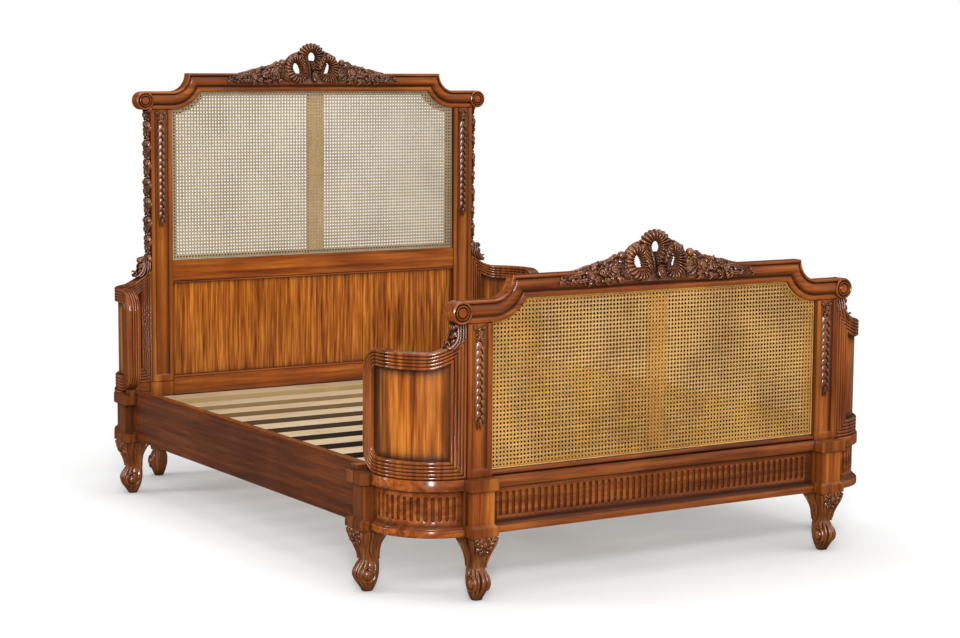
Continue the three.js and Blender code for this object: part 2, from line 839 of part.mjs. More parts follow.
// What the head and foot boards share, in a frame with Y running inwards from the blocks
function boardGroup(prefix, sides, railTop, husks, pitch, showOutside) {
  const board = new THREE.Group();
  const postTop = railTop - sweepRadius - crestHeight - seat;
  const post = shown(postGeometry(postTop, husks, pitch), showOutside);
  addPair(board, prefix, "post", post, "mahogany", sides);
  addPair(board, prefix, "pedestal", pedestalGeometry(), "mahogany", sides);
  addPair(board, prefix, "end_block", endBlockGeometry(), "mahogany", sides);
  addPair(board, prefix, "curved_plinth", curvedPlinthGeometry(), "mahogany", sides);
  addPair(board, prefix, "wing_frame", wingFrameGeometry(), "dark", sides);
  addPair(board, prefix, "wing_panel", wingPanelGeometry(), "veneer", sides);
  add(board, `${prefix}_plinth`, plinthGeometry(showOutside), "mahogany");
  add(board, `${prefix}_crest_rail`, crestRailGeometry(railTop), "dark");
  const carving = shown(crestCarvingGeometry(railTop), showOutside);
  add(board, `${prefix}_crest_carving`, carving, "carving");
  addLegs(board, prefix, sides);
  return board;
}

// Two cane sheets with the centre muntin between them
function addCane(board, prefix, railTop, bottom, showOutside) {
  const outline = openingOutline(railTop, bottom);
  const face = boardMiddle - muntinProud;
  const rear = face + muntinThickness;
  const frontSheet = upstanding(outline, face - seat - caneThickness, face - seat);
  const backSheet = upstanding(outline, rear + seat, rear + seat + caneThickness);
  const [frontName, backName] = showOutside ? ["outer", "inner"] : ["inner", "outer"];
  add(board, `${prefix}_cane_${frontName}`, shown(frontSheet, showOutside), "cane");
  add(board, `${prefix}_cane_${backName}`, shown(backSheet, showOutside), "cane");
  const top = railTop - crestHeight - seat;
  const half = muntinWidth / 2;
  const bar = block(-half, half, face, rear, bottom + seat, top);
  add(board, `${prefix}_centre_muntin`, shown(bar, showOutside), "mahogany");
}

// Rail across a board with a small moulding along its upper and lower edges
function crossRail(bottom, top, face) {
  const front = boardMiddle - face;
  const back = boardMiddle + face;
  const section = [
    [front + railEdge, bottom],
    [front, bottom + railEdge],
    [front, top - railEdge],
    [front + railEdge, top],
    [back - railEdge, top],
    [back, top - railEdge],
    [back, bottom + railEdge],
    [back - railEdge, bottom],
  ];
  return lengthwise(section, -openingHalf + seat, openingHalf - seat);
}

const railFaceDepth = postDepth / 2 - 2; // cross rails sit 2 behind the posts' faces

function footBoard() {
  const board = boardGroup("foot", ["left", "right"], footRailTop, footHusks, footHuskPitch, true);
  const railTop = plinthTop + bottomRailHeight;
  add(board, "foot_bottom_rail", crossRail(plinthTop + seat, railTop, railFaceDepth), "dark");
  addCane(board, "foot", footRailTop, railTop, true);
  const top = footRailTop - sweepRadius - crestHeight - seat;
  addPair(board, "foot", "wing_scroll", scrollGeometry(top), "carving", ["left", "right"]);
  board.position.y = -bedLength / 2;
  return board;
}

function headBoard() {
  const sides = ["right", "left"];
  const board = boardGroup("head", sides, headRailTop, headHusks, headHuskPitch, false);
  const bottomRail = plinthTop + bottomRailHeight;
  const midBottom = bottomRail + lowerPanelHeight;
  const midTop = midBottom + midRailHeight;
  add(board, "head_bottom_rail", crossRail(plinthTop + seat, bottomRail, railFaceDepth), "mahogany");
  add(board, "head_mid_rail", crossRail(midBottom, midTop, railFaceDepth), "mahogany");
  const panel = block(
    -openingHalf + seat,
    openingHalf - seat,
    boardMiddle - lowerPanelThickness / 2,
    boardMiddle + lowerPanelThickness / 2,
    bottomRail + seat,
    midBottom - seat,
  );
  add(board, "head_lower_panel", panel, "veneer");
  addCane(board, "head", headRailTop, midTop, false);
  const top = headRailTop - sweepRadius - crestHeight - seat;
  addPair(board, "head", "garland", garlandGeometry(top), "carving", sides);
  board.rotation.z = Math.PI;
  board.position.y = bedLength / 2;
  return board;
}

// Side rail between two end blocks, with a bead along its upper outer edge
function sideRailGeometry() {
  const end = bedLength / 2 - endBlockBack - seat;
  const top = sideRailBottom + sideRailHeight;
  const outline = [
    [sideRailInner, sideRailBottom],
    [sideRailOuter - railEdge / 2, sideRailBottom],
    [sideRailOuter, sideRailBottom + railEdge / 2],
    [sideRailOuter, top - railEdge],
    [sideRailOuter - railEdge, top],
    [sideRailInner + railEdge / 2, top],
    [sideRailInner, top - railEdge / 2],
  ];
  return skin([-end, end].map((y) => outline.map(([x, z]) => [x, y, z])));
}

// Slats across the bed, carried on the centre rail under them
function slattedBaseGeometry() {
  const reach = sideRailInner - seat;
  const bottom = slatTop - slatThickness;
  const railEnd = bedLength / 2 - postBack - ledgerWidth - 2 * seat;
  const half = centreRailWidth / 2;
  const rail = block(-half, half, -railEnd, railEnd, bottom - centreRailHeight, bottom + 1);
  const places = [];
  for (let i = 0; i < slatCount; i++) {
    places.push([(i - (slatCount - 1) / 2) * slatPitch, reach]);
  }
  for (const end of [-1, 1]) places.push([end * (bedLength / 2 - endSlatOffset), endSlatHalf]);
  const slats = places.map(([y, end]) =>
    block(-end, end, y - slatWidth / 2, y + slatWidth / 2, bottom, slatTop),
  );
  return joined(rail, ...slats);
}

function addBase() {
  const side = bedLength / 2 - endBlockFront;
  const [inner, outer] = [sideRailInner - seat - ledgerWidth, sideRailInner - seat];
  const ledger = block(inner, outer, -side, side, ledgerTop - ledgerHeight, ledgerTop);
  add(bed, "side_rail_right", sideRailGeometry(), "dark");
  add(bed, "side_rail_left", mirrored(sideRailGeometry()), "dark");
  add(bed, "ledger_right", ledger, "pine");
  add(bed, "ledger_left", mirrored(ledger), "pine");
  const face = bedLength / 2 - postBack - seat;
  const low = ledgerTop - ledgerHeight;
  const cross = openingHalf - seat;
  add(bed, "ledger_head", block(-cross, cross, face - ledgerWidth, face, low, ledgerTop), "pine");
  add(bed, "ledger_foot", block(-cross, cross, -face, ledgerWidth - face, low, ledgerTop), "pine");
  add(bed, "slatted_base", slattedBaseGeometry(), "pine");
}

bed.add(footBoard(), headBoard());
addBase();

export default bed;
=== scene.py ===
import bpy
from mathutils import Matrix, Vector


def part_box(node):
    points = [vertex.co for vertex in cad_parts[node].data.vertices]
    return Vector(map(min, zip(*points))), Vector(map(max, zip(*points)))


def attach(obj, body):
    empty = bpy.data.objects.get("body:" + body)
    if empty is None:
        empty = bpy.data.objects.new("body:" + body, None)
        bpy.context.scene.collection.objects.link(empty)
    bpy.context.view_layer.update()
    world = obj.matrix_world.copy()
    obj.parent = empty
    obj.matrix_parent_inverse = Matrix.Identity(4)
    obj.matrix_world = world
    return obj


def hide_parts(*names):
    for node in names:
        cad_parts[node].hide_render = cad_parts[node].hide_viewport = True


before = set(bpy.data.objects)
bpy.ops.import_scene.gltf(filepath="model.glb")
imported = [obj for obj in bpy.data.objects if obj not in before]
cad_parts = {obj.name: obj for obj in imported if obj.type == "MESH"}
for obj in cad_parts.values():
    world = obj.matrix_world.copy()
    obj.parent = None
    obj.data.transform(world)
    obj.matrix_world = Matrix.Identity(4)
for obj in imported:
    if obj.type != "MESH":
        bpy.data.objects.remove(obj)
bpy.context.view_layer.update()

import math

import bmesh
import bpy
import numpy as np
from mathutils import Matrix, Quaternion, Vector

MM = 0.001
GAP = 0.3  # joint that every two pieces keep, in millimetres
SIDES = (-1, 1)


# Sizes read from the frame, in millimetres
def corners(node):
    return [np.array(corner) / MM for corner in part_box(node)]


OPENING_HALF = corners("foot_post_right")[0][0]
POST_OUTER = corners("foot_wing_frame_right")[0][0] - GAP
(_, _, LEG_TOP), (BLOCK_OUTER, _, PLINTH_TOP) = corners("foot_pedestal_right")
BLOCK_FACE = corners("head_pedestal_right")[1][1]
END_BLOCK_OUTER = corners("foot_end_block_right")[1][0]
END_BLOCK_FRONT = corners("foot_end_block_right")[0][1] + BLOCK_FACE
WING_BOTTOM, WING_CREST = (corner[2] for corner in corners("foot_wing_frame_right"))
POST_FRONT, POST_BACK = 40, 80  # depths behind the pedestals' face
POST_HALF = (POST_BACK - POST_FRONT) / 2

# Sizes of the corner: one centre for the curved plinth and the wing above it
ARC_DEPTH = 214
CAP_RADIUS = 178
CAP_SETBACK = ARC_DEPTH - CAP_RADIUS
WING_RADIUS = ARC_DEPTH - POST_FRONT
WING_THICKNESS = 44
WING_TOP = PLINTH_TOP + 350
WING_START = BLOCK_OUTER - POST_OUTER
WING_SWEEP = 110  # length over which the wing's top rises to the post
WING_LAP = 60
WING_LENGTH = WING_START + WING_RADIUS * math.pi / 2 + END_BLOCK_FRONT - ARC_DEPTH + WING_LAP

# Sizes of the crest rail, whose lower edge turns round the cove's centre
RAIL_HEIGHT = 64
COVE_RADIUS = 63
COVE_OUTER = COVE_RADIUS + RAIL_HEIGHT
COVE_TURN = math.acos(RAIL_HEIGHT / COVE_OUTER)
COVE_X = OPENING_HALF - 4
VOLUTE_RADIUS = 32
VOLUTE_X = POST_OUTER + 20


class Board:
    """Head or foot board: turns a depth behind its pedestals' face into a place along the bed."""

    def __init__(self, name, sign, front, back):
        self.name, self.sign = name, sign
        self.middle = self.y((POST_FRONT + POST_BACK) / 2)
        self.cane, self.cane_back = f"cane_{front}", f"cane_{back}"
        self.cane_bottom = corners(self.node(self.cane))[0][2] - GAP
        self.rail_bottom, self.rail_top = (corner[2] for corner in corners(f"{name}_crest_rail"))

    def y(self, depth):
        return self.sign * (BLOCK_FACE - depth)

    def node(self, piece, side=None):
        return f"{self.name}_{piece}" + {None: "", -1: "_left", 1: "_right"}[side]

    def build(self, piece, shapes, material, replaced=None, smooth=30, side=None, **more):
        """A piece of this board from shapes in millimetres, standing for the CAD node it replaces."""
        name = self.node(piece, side)
        finish_piece(name, built(name, *join(shapes), **more), material, replaced and self.node(replaced, side), smooth)


FOOT, HEAD = Board("foot", -1, "outer", "inner"), Board("head", 1, "inner", "outer")


# Geometry: a shape is an array of vertices and a list of face arrays
def points(x, y, z):
    return np.stack(np.broadcast_arrays(x, y, z), -1)


def turns(steps):
    return np.arange(steps) * 2 * np.pi / steps


def unit(vectors):
    return vectors / np.linalg.norm(vectors, axis=-1, keepdims=True)


def there_and_back(front, rear):
    """Rows that run along the front and return along the rear."""
    return np.concatenate([front, rear[:, ::-1]], 1)


def between(edges, share):
    """Rows of x and z at shares of the way between the two edges of each station."""
    first, second = edges[:, 0, None], edges[:, 1, None]
    return np.moveaxis(first + (second - first) * share[:, None], -1, 0)


def skin(rings, loop=False, closed=True, caps=True):
    """Skin over rings of equally many points, closed at both ends or into a loop."""
    rings = np.asarray(rings, float)
    count, size = rings.shape[:2]
    i = np.arange(count if loop else count - 1)[:, None]
    j = np.arange(size if closed else size - 1)[None, :]
    near, far = i * size, (i + 1) % count * size
    quads = np.stack([near + j, near + (j + 1) % size, far + (j + 1) % size, far + j], -1)
    faces = [quads.reshape(-1, 4)]
    if caps and closed and not loop:
        last = (count - 1) * size + np.arange(size)
        faces += [np.arange(size)[None, ::-1], last[None]]
    return rings.reshape(-1, 3), faces


def moved(shape, offset):
    return shape[0] + np.asarray(offset, float), shape[1]


def mapped(shape, function):
    """The shape with each vertex (x, y, z) sent through a function of three arrays."""
    return points(*function(*shape[0].T)), shape[1]


def placed(shape, origin, along, up=(0, 0, 1)):
    """The shape with its +X turned to along, its +Z towards up, and its origin moved."""
    x, z = unit(np.array(along, float)), np.array(up, float)
    z = unit(z - x * z.dot(x))
    return moved((shape[0] @ np.array([x, np.cross(z, x), z]), shape[1]), origin)


def prism(outline, bottom, top):
    return skin([[(x, y, z) for x, y in outline] for z in (bottom, top)])


def block(low, high):
    (x0, y0, z0), (x1, y1, z1) = low, high
    return prism([(x0, y0), (x1, y0), (x1, y1), (x0, y1)], z0, z1)


def lathe(profile, steps):
    """Profile of (radius, height) turned about Z, closed at both ends."""
    turn = turns(steps)
    return skin([points(max(r, 0.02) * np.cos(turn), max(r, 0.02) * np.sin(turn), h) for r, h in profile])


def spline(path, steps):
    """Smooth curve through a list of points of any dimension."""
    p = np.asarray(path, float)
    p = np.vstack([2 * p[0] - p[1], p, 2 * p[-1] - p[-2]])
    t = np.linspace(0, 1, steps, endpoint=False)[:, None]
    spans = [b + 0.5 * ((c - a) * t + (2 * a - 5 * b + 4 * c - d) * t**2 + (3 * b - 3 * c + d - a) * t**3)
             for a, b, c, d in zip(p[:-3], p[1:-2], p[2:-1], p[3:])]
    return np.vstack([*spans, p[-2:-1]])


def tube(path, radii, flat=1.0, normal=(0, 0, 1), sides=8):
    """Round bar along a path, with a radius at each point, flattened along the normal."""
    path, normal = np.asarray(path, float), np.array(normal, float)
    along = unit(np.gradient(path, axis=0))
    up = unit(normal - along * along.dot(normal)[:, None])
    radii = np.broadcast_to(radii, len(path))[:, None, None]
    c, s = np.cos(turns(sides))[:, None], np.sin(turns(sides))[:, None]
    return skin(path[:, None] + radii * (c * np.cross(along, up)[:, None] + flat * s * up[:, None]))


def leaf(length, width, rise, curl=0.5, steps=12, across=9, point=0.75):
    """Carved leaf lying along +X with its face to +Z and its tip curling down by curl radians."""
    u = np.linspace(0.02, 0.985, steps)
    v = np.linspace(-1, 1, across)
    angle = curl * (0.35 - u)
    x, lift = np.cumsum([np.cos(angle), np.sin(angle)], 1)[..., None] * length / steps
    outline = (np.sin(np.pi * u**point) ** (1.5 - point))[:, None]
    vein = 1 - v**2 + 0.25 * np.cos(2 * np.pi * v) * (np.abs(v) < 0.75) - 0.5 * np.exp(-((v / 0.14) ** 2))
    half = width / 2 * outline * v
    return skin(there_and_back(points(x, half, lift + rise * outline * vein), points(x, 0.8 * half, lift - 0.6 * rise)))


def ball(radius, place, steps=10, squash=0.9):
    turn = np.linspace(-1.4, 1.57, 8)
    return moved(lathe(zip(radius * np.cos(turn), radius * squash * np.sin(turn)), steps), place)


def flower(radius, petals, rise):
    """Carved flower facing +Z: cupped round petals in two rows about a boss."""
    cup = [(radius * r, rise * h) for r, h in ((0.6, -1), (0.55, 0.3), (0.2, 0.45), (0, 0.45))]
    pieces = [lathe(cup, 14), ball(radius * 0.2, (0, 0, rise * 0.75), squash=1)]
    for row, (reach, wide, lift, tilt) in enumerate(((1.0, 0.95, -0.1, 0.1), (0.62, 0.7, 0.35, 0.5))):
        petal = leaf(radius * reach, radius * wide, rise * 0.6, -0.5, steps=7, across=7)
        for turn in turns(petals) + np.pi * row / petals:
            pieces.append(placed(petal, (0, 0, rise * lift), (math.cos(turn), math.sin(turn), tilt)))
    return join(pieces)


def rose(radius, rise):
    """Carved rose facing +Z: petals wrapped in turn round a bud."""
    pieces = [lathe([(radius * 0.55, -rise), (radius * 0.5, rise * 0.2), (0, rise * 0.3)], 14)]
    radii = radius * 0.17 * (0.35 + np.sin(np.linspace(0.25, 2.9, 20)))
    for k, (reach, height) in enumerate(((0.82, 0.25), (0.6, 0.55), (0.38, 0.8), (0.18, 0.95))):
        turn = np.linspace(0, 4.6, 20) + 2.2 * k
        size = radius * reach * (1 + 0.1 * np.cos(3 * turn))
        pieces.append(tube(points(size * np.cos(turn), size * np.sin(turn), rise * height), radii, 1.3))
    return join(pieces)


def curl(size, start, sweep, rise=4.0):
    """Leaf curl in the XY plane, facing +Z: a bar that rolls in from its tail to a bead."""
    share = np.linspace(0, 1, 24)
    turn, radius = start + sweep * share, size / 2 * (1 - 0.68 * share)
    path = points(radius * np.cos(turn), radius * np.sin(turn), rise * share)
    radii = size * (0.045 + 0.135 * np.sin(np.pi * (0.1 + 0.75 * share)))
    return join([tube(path, radii, 0.9), ball(size * 0.15, path[-1])])


def blade(path, width, rise, ribs, chevron=0.25, groove=0.4):
    """Carved blade along a path, facing +Z, with ribs that run from its middle line to both edges."""
    path = spline(path, 16)
    u, v = np.linspace(0, 1, len(path))[:, None], np.linspace(-1, 1, 15)
    along = np.gradient(path, axis=0)
    across = unit(points(-along[:, 1], along[:, 0], 0))[:, None]
    reach = np.sin(np.pi * (0.05 + 0.9 * u)) ** 0.6 * width / 2 * v
    rib = np.abs(np.sin(np.pi * ribs * (u + chevron * width / 60 * np.abs(v))))
    height = rise * (np.sqrt(1 - 0.96 * v**2) * (0.5 + 0.5 * rib) - groove * np.exp(-((v / 0.13) ** 2)))
    top = path[:, None] + across * (reach * (0.93 + 0.07 * rib))[..., None] + points(0, 0, height)
    return skin(there_and_back(top, path[:, None] + across * 0.85 * reach[..., None] - points(0, 0, rise / 2)))


def join(shapes):
    vertices, faces, offset = [], [], 0
    for places, groups in shapes:
        vertices.append(places)
        faces += [np.asarray(group) + offset for group in groups]
        offset += len(places)
    return np.concatenate(vertices), faces


def set_halo(mesh, values):
    """Glaze and painted shade that each vertex carries, from 0 to 1, besides what lies in its hollow."""
    mesh.attributes.new("halo", "FLOAT", "POINT").data.foreach_set("value", np.asarray(values, np.float32))


def built(name, vertices, groups, recalculate=True, halo=None):
    """Mesh in metres of vertices in millimetres. Halo holds a value for each, or a function that gives them."""
    sizes = np.concatenate([np.full(len(group), group.shape[1]) for group in groups])
    mesh = bpy.data.meshes.new(name)
    mesh.vertices.add(len(vertices))
    mesh.vertices.foreach_set("co", (vertices * MM).ravel())
    mesh.loops.add(int(sizes.sum()))
    mesh.loops.foreach_set("vertex_index", np.concatenate([group.ravel() for group in groups]).astype(np.int32))
    mesh.polygons.add(len(sizes))
    mesh.polygons.foreach_set("loop_start", (np.cumsum(sizes) - sizes).astype(np.int32))
    mesh.update(calc_edges=True)
    if recalculate:
        edit = bmesh.new()
        edit.from_mesh(mesh)
        bmesh.ops.recalc_face_normals(edit, faces=edit.faces)
        edit.to_mesh(mesh)
        edit.free()
    if halo is not None:
        set_halo(mesh, halo(*vertices.T) if callable(halo) else halo)
    return mesh


def softened(node, material, bevel, proud=0.0):
    """A flat-faced CAD piece with its edges eased. Proud is the glaze and painted shade on its widest mouldings."""
    edit = bmesh.new()
    edit.from_mesh(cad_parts[node].data)
    bmesh.ops.remove_doubles(edit, verts=edit.verts, dist=1e-6)
    bmesh.ops.dissolve_limit(edit, angle_limit=math.radians(1), verts=edit.verts, edges=edit.edges)
    mesh = bpy.data.meshes.new(node + "_eased")
    edit.to_mesh(mesh)
    edit.free()
    # Glaze and painted shade on the vertices of the widest mouldings
    if proud:
        x = np.array([vertex.co.x for vertex in mesh.vertices])
        set_halo(mesh, proud * (np.minimum(x - x.min(), x.max() - x) < MM))
    finish_piece(node + "_eased", mesh, material, node, 30, bevel)


def finish_piece(name, mesh, material, replaced, smooth, bevel=0.0):
    """The object of a mesh: sharp past an angle in degrees, bevelled, and told to the frame."""
    mesh.shade_smooth()
    mesh.set_sharp_from_angle(angle=math.radians(smooth))
    mesh.materials.clear()
    mesh.materials.append(MATERIALS[material])
    obj = bpy.data.objects.new(name, mesh)
    bpy.context.scene.collection.objects.link(obj)
    if bevel:
        soften = obj.modifiers.new("soften", "BEVEL")
        soften.width = bevel * MM
        soften.segments = 3
        soften.limit_method = "ANGLE"
        soften.angle_limit = math.radians(28)
        soften.harden_normals = True
    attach(obj, "root")
    if replaced:
        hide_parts(replaced)


# Materials
class Nodes:
    """Short way to add and link the nodes of a material or of the world."""

    def __init__(self, owner):
        owner.use_nodes = True
        self.owner, self.tree = owner, owner.node_tree
        self.tree.nodes.clear()

    def node(self, kind, settings=None, **inputs):
        """A node of one kind. Its inputs go by their names, or by i and their number."""
        node = self.tree.nodes.new("ShaderNode" + kind)
        for key, value in (settings or {}).items():
            setattr(node, key, value)
        for key, value in inputs.items():
            socket = node.inputs[int(key[1:]) if key[1:].isdigit() else key.replace("_", " ")]
            if isinstance(value, bpy.types.NodeSocket):
                self.tree.links.new(value, socket)
            else:
                socket.default_value = value
        return node

    def add(self, kind, settings=None, **inputs):
        return self.node(kind, settings, **inputs).outputs

    def math(self, operation, *values):
        return self.add("Math", {"operation": operation}, **{f"i{k}": v for k, v in enumerate(values)})[0]

    def mix(self, factor, first, second, blend="MIX"):
        return self.add("Mix", {"data_type": "RGBA", "blend_type": blend}, i0=factor, i6=first, i7=second)[2]

    def blend(self, factor, first, second):
        return self.add("MixShader", i0=factor, i1=first, i2=second)[0]

    def ramp(self, value, *stops):
        node = self.node("ValToRGB", i0=value)
        for element, (place, colour) in zip(node.color_ramp.elements, stops[:2]):
            element.position, element.color = place, (*colour, 1)
        for place, colour in stops[2:]:
            node.color_ramp.elements.new(place).color = (*colour, 1)
        return node.outputs[0]

    def place(self):
        return self.add("TexCoord")["Object"]

    def stretched(self, scale):
        return self.add("Mapping", Vector=self.place(), Scale=scale)[0]

    def noise(self, scale, detail, roughness=0.5, distortion=0.0):
        return self.add("TexNoise", Vector=self.stretched(scale), Scale=1.0, Detail=detail, Roughness=roughness,
                        Distortion=distortion)[0]

    def nearness(self, distance, samples=6):
        return self.add("AmbientOcclusion", {"samples": samples}, Distance=distance)["AO"]

    def finish(self, shader, kind="Material"):
        self.node("Output" + kind, i0=shader)
        return self.owner


WHITE = (1, 1, 1)
GRAIN = {"X": (1, 26, 26), "Y": (26, 1, 26), "Z": (26, 26, 1)}
# Near-black brown of the glaze and of the painted shade in hollows
GLAZE_AND_SHADE = (0.012, 0.004, 0.002, 1)
RIBBON = 3.1  # how much finer the ribbon figure is than the broad one
PORES = {1: 18, 26: 700}  # scale of the pores along and across the grain
CAVITY = 4.5  # reach of the wide hollows, as a multiple of the near ones


def polished(name, grain, dark, middle, light, cavity=9.0, strength=0.85, stripe=0.5, rough=0.24, coat=0.7, bite=0.9,
             fine=1.0, spread=0.13, index=1.5):
    """Polished hardwood: long figure, fine pores, cloudy tone, and a dark glaze with painted shade in the hollows."""
    n = Nodes(bpy.data.materials.new(name))
    figure = n.noise([v * fine for v in GRAIN[grain]], 5.0, 0.6, 0.6)
    ribbon = n.noise([v * fine * RIBBON for v in GRAIN[grain]], 3.0, 0.5, 0.2)
    tone = n.math("ADD", n.math("MULTIPLY", figure, 1 - stripe), n.math("MULTIPLY", ribbon, stripe))
    colour = n.ramp(tone, (0.34, dark), (0.5, middle), (0.66, light))
    pores = n.noise([PORES[v] for v in GRAIN[grain]], 2.0)
    colour = n.mix(0.7, colour, n.ramp(pores, (0.36, (0.62, 0.55, 0.5)), (0.5, WHITE)), "MULTIPLY")
    cloud = n.noise((4, 4, 4), 2.0)
    colour = n.mix(0.55, colour, n.ramp(cloud, (0.35, (0.62, 0.58, 0.55)), (0.62, (1.12, 1.1, 1.08))), "MULTIPLY")
    # Painted shade: near and wide ambient occlusion, with the vertices' halo, darken the hollows towards the glaze's
    # near-black
    near, wide = n.nearness(cavity * MM), n.nearness(cavity * CAVITY * MM)
    hollow = n.math("SUBTRACT", 1.0, n.math("MULTIPLY", near, n.math("POWER", wide, 0.8)))
    halo = n.add("Attribute", {"attribute_name": "halo"})["Fac"]
    hollow = n.math("MAXIMUM", n.math("MULTIPLY", n.math("POWER", hollow, bite), strength),
                    n.math("MULTIPLY", halo, 0.93))
    colour = n.mix(hollow, colour, GLAZE_AND_SHADE)
    sheen = n.math("ADD", n.math("MULTIPLY", hollow, 0.3), n.math("ADD", rough - 0.05, n.math("MULTIPLY", cloud, 0.1)))
    lacquer = n.math("MULTIPLY", n.math("SUBTRACT", 1.0, n.math("MULTIPLY", hollow, 0.9)), coat)
    height = n.add("Bump", Strength=0.12, Distance=0.0004, Height=pores)[0]
    return n.finish(n.add("BsdfPrincipled", Base_Color=colour, Roughness=sheen, Normal=height, Specular_IOR_Level=0.2,
                          Coat_Weight=lacquer, Coat_Roughness=spread, Coat_IOR=index)[0])


def woven(name, dark, light, inside, glow=0.0, glaze_and_shade=(0.05, 0.022, 0.008)):
    """Split cane: shiny tan skin with long streaks, with painted shade in the crossings and a darker tone of painted
    shade on its inner faces.
    """
    n = Nodes(bpy.data.materials.new(name))
    streak, cloud = n.noise((160, 160, 160), 3.0, 0.6), n.noise((5, 5, 5), 3.0, 0.6)
    colour = n.ramp(n.math("ADD", n.math("MULTIPLY", streak, 0.5), n.math("MULTIPLY", cloud, 0.5)),
                    (0.38, dark), (0.6, light))
    # Painted shade: ambient occlusion browns the crossings
    crossing_shade = n.math("MULTIPLY", n.math("SUBTRACT", 1.0, n.nearness(0.004, 4)), 0.75)
    colour = n.mix(crossing_shade, colour, (*glaze_and_shade, 1))
    # Inner faces take the painted shade of the inside tone
    colour = n.mix(n.add("NewGeometry")["Backfacing"], colour, (*inside, 1))
    shader = n.add("BsdfPrincipled", Base_Color=colour, Roughness=0.42, Coat_Weight=0.15, Coat_Roughness=0.25)
    return n.finish(n.blend(glow, shader[0], n.add("BsdfTranslucent", Color=colour)[0]))


def sawn(name, dark, light):
    """Bare pine with growth rings, knots and a rough sawn face. Its upright faces carry painted shadow, darkest towards
    the foot board.
    """
    n = Nodes(bpy.data.materials.new(name))
    rings = n.add("TexWave", {"wave_type": "BANDS", "bands_direction": "Y"}, Vector=n.stretched((1.2, 34, 20)),
                  Scale=0.6, Distortion=7.0, Detail=2.0, Detail_Scale=0.7)[1]
    colour = n.ramp(rings, (0.1, light), (0.9, dark))
    blotch = n.noise((2.5, 5, 5), 3.0, 0.6)
    colour = n.mix(0.6, colour, n.ramp(blotch, (0.35, (0.72, 0.62, 0.5)), (0.6, WHITE)), "MULTIPLY")
    knots = n.add("TexVoronoi", Vector=n.stretched((4.2, 9, 9)), Scale=1.0)[0]
    colour = n.mix(n.ramp(knots, (0.03, WHITE), (0.09, (0, 0, 0))), colour, (0.22, 0.1, 0.04, 1))
    # Painted shadow on the upright faces, as the foot board would cast it: near black over the foot half, paler towards
    # the head
    tilt = n.add("SeparateXYZ", Vector=n.add("NewGeometry")["Normal"])[2]
    edge = n.math("LESS_THAN", n.math("ABSOLUTE", tilt), 0.5)
    along = n.add("SeparateXYZ", Vector=n.place())[1]
    painted_shade = n.ramp(along, (0.0, (0.02, 0.01, 0.006)), (0.35, (0.07, 0.04, 0.016)), (0.75, (0.3, 0.19, 0.07)),
                  (1.0, (0.5, 0.34, 0.14)))
    colour = n.mix(edge, colour, painted_shade)
    height = n.add("Bump", Strength=0.3, Distance=0.0006, Height=rings)[0]
    return n.finish(n.add("BsdfPrincipled", Base_Color=colour, Roughness=0.62, Normal=height)[0])


STRIPES = (0.12, 0.026, 0.005), (0.36, 0.098, 0.012), (0.66, 0.24, 0.03)
CARVED = dict(cavity=7.0, strength=1.0, rough=0.3, coat=1.0)
WOODS = (  # key, name, grain, dark, middle and light tone, settings
    ("polished X", "polished mahogany, grain across", "X", (0.09, 0.018, 0.004), (0.22, 0.054, 0.01),
     (0.37, 0.112, 0.018), dict(strength=0.9)),
    ("polished Z", "polished mahogany, upright grain", "Z", (0.15, 0.03, 0.004), (0.33, 0.084, 0.011),
     (0.56, 0.18, 0.025), dict(stripe=0.2)),
    ("polished end", "polished mahogany of the end blocks", "Z", (0.07, 0.015, 0.003), (0.165, 0.042, 0.008),
     (0.3, 0.09, 0.015), dict(stripe=0.3)),
    ("dark X", "dark mahogany, grain across", "X", (0.12, 0.025, 0.004), (0.3, 0.072, 0.01), (0.48, 0.15, 0.02),
     dict(strength=0.95)),
    # Mahogany lightened as painted light, for the head's muntin in the shade behind the cane
    ("golden", "golden beech, upright grain", "Z", (0.5, 0.27, 0.07), (0.72, 0.42, 0.12), (0.88, 0.57, 0.2),
     dict(strength=0.3)),
    ("dark Y", "dark mahogany, grain along the bed", "Y", (0.05, 0.011, 0.003), (0.12, 0.028, 0.006),
     (0.2, 0.053, 0.01), {}),
    ("reeded", "reeded mahogany", "Z", (0.1, 0.02, 0.004), (0.25, 0.062, 0.01), (0.42, 0.13, 0.02),
     dict(cavity=5.0, strength=0.75, rough=0.2, coat=1.0)),
    ("carved", "carved mahogany", "Z", (0.07, 0.016, 0.004), (0.215, 0.058, 0.01), (0.37, 0.122, 0.018),
     dict(CARVED, bite=0.62, spread=0.24, index=1.85)),
    ("leg", "carved leg", "Z", (0.1, 0.023, 0.005), (0.25, 0.069, 0.012), (0.43, 0.145, 0.023),
     dict(CARVED, spread=0.23, index=1.75)),
    ("veneer", "striped veneer", "Z", *STRIPES, dict(cavity=10.0, stripe=0.7, strength=0.9, rough=0.2)),
    ("veneer head", "fine striped veneer", "Z", *STRIPES, dict(cavity=10.0, stripe=0.72, rough=0.2, fine=2.0)))
MATERIALS = {key: polished(*row, **settings) for key, *row, settings in WOODS}
# The foot cane's inner faces are near-black painted shade, for the dark between its two sheets
MATERIALS["cane foot"] = woven("woven cane", (0.4, 0.19, 0.037), (0.78, 0.43, 0.104), (0.02, 0.008, 0.002))
# The head's cane is a paler, greyer copy of the foot's: painted light from behind, besides its real translucency
MATERIALS["cane head"] = woven("woven cane, lit from behind", (0.46, 0.35, 0.2), (0.69, 0.56, 0.36),
                               (0.48, 0.38, 0.23), 0.3, (0.2, 0.14, 0.07))
MATERIALS["pine"] = sawn("bare pine", (0.5, 0.36, 0.2), (0.7, 0.56, 0.38))

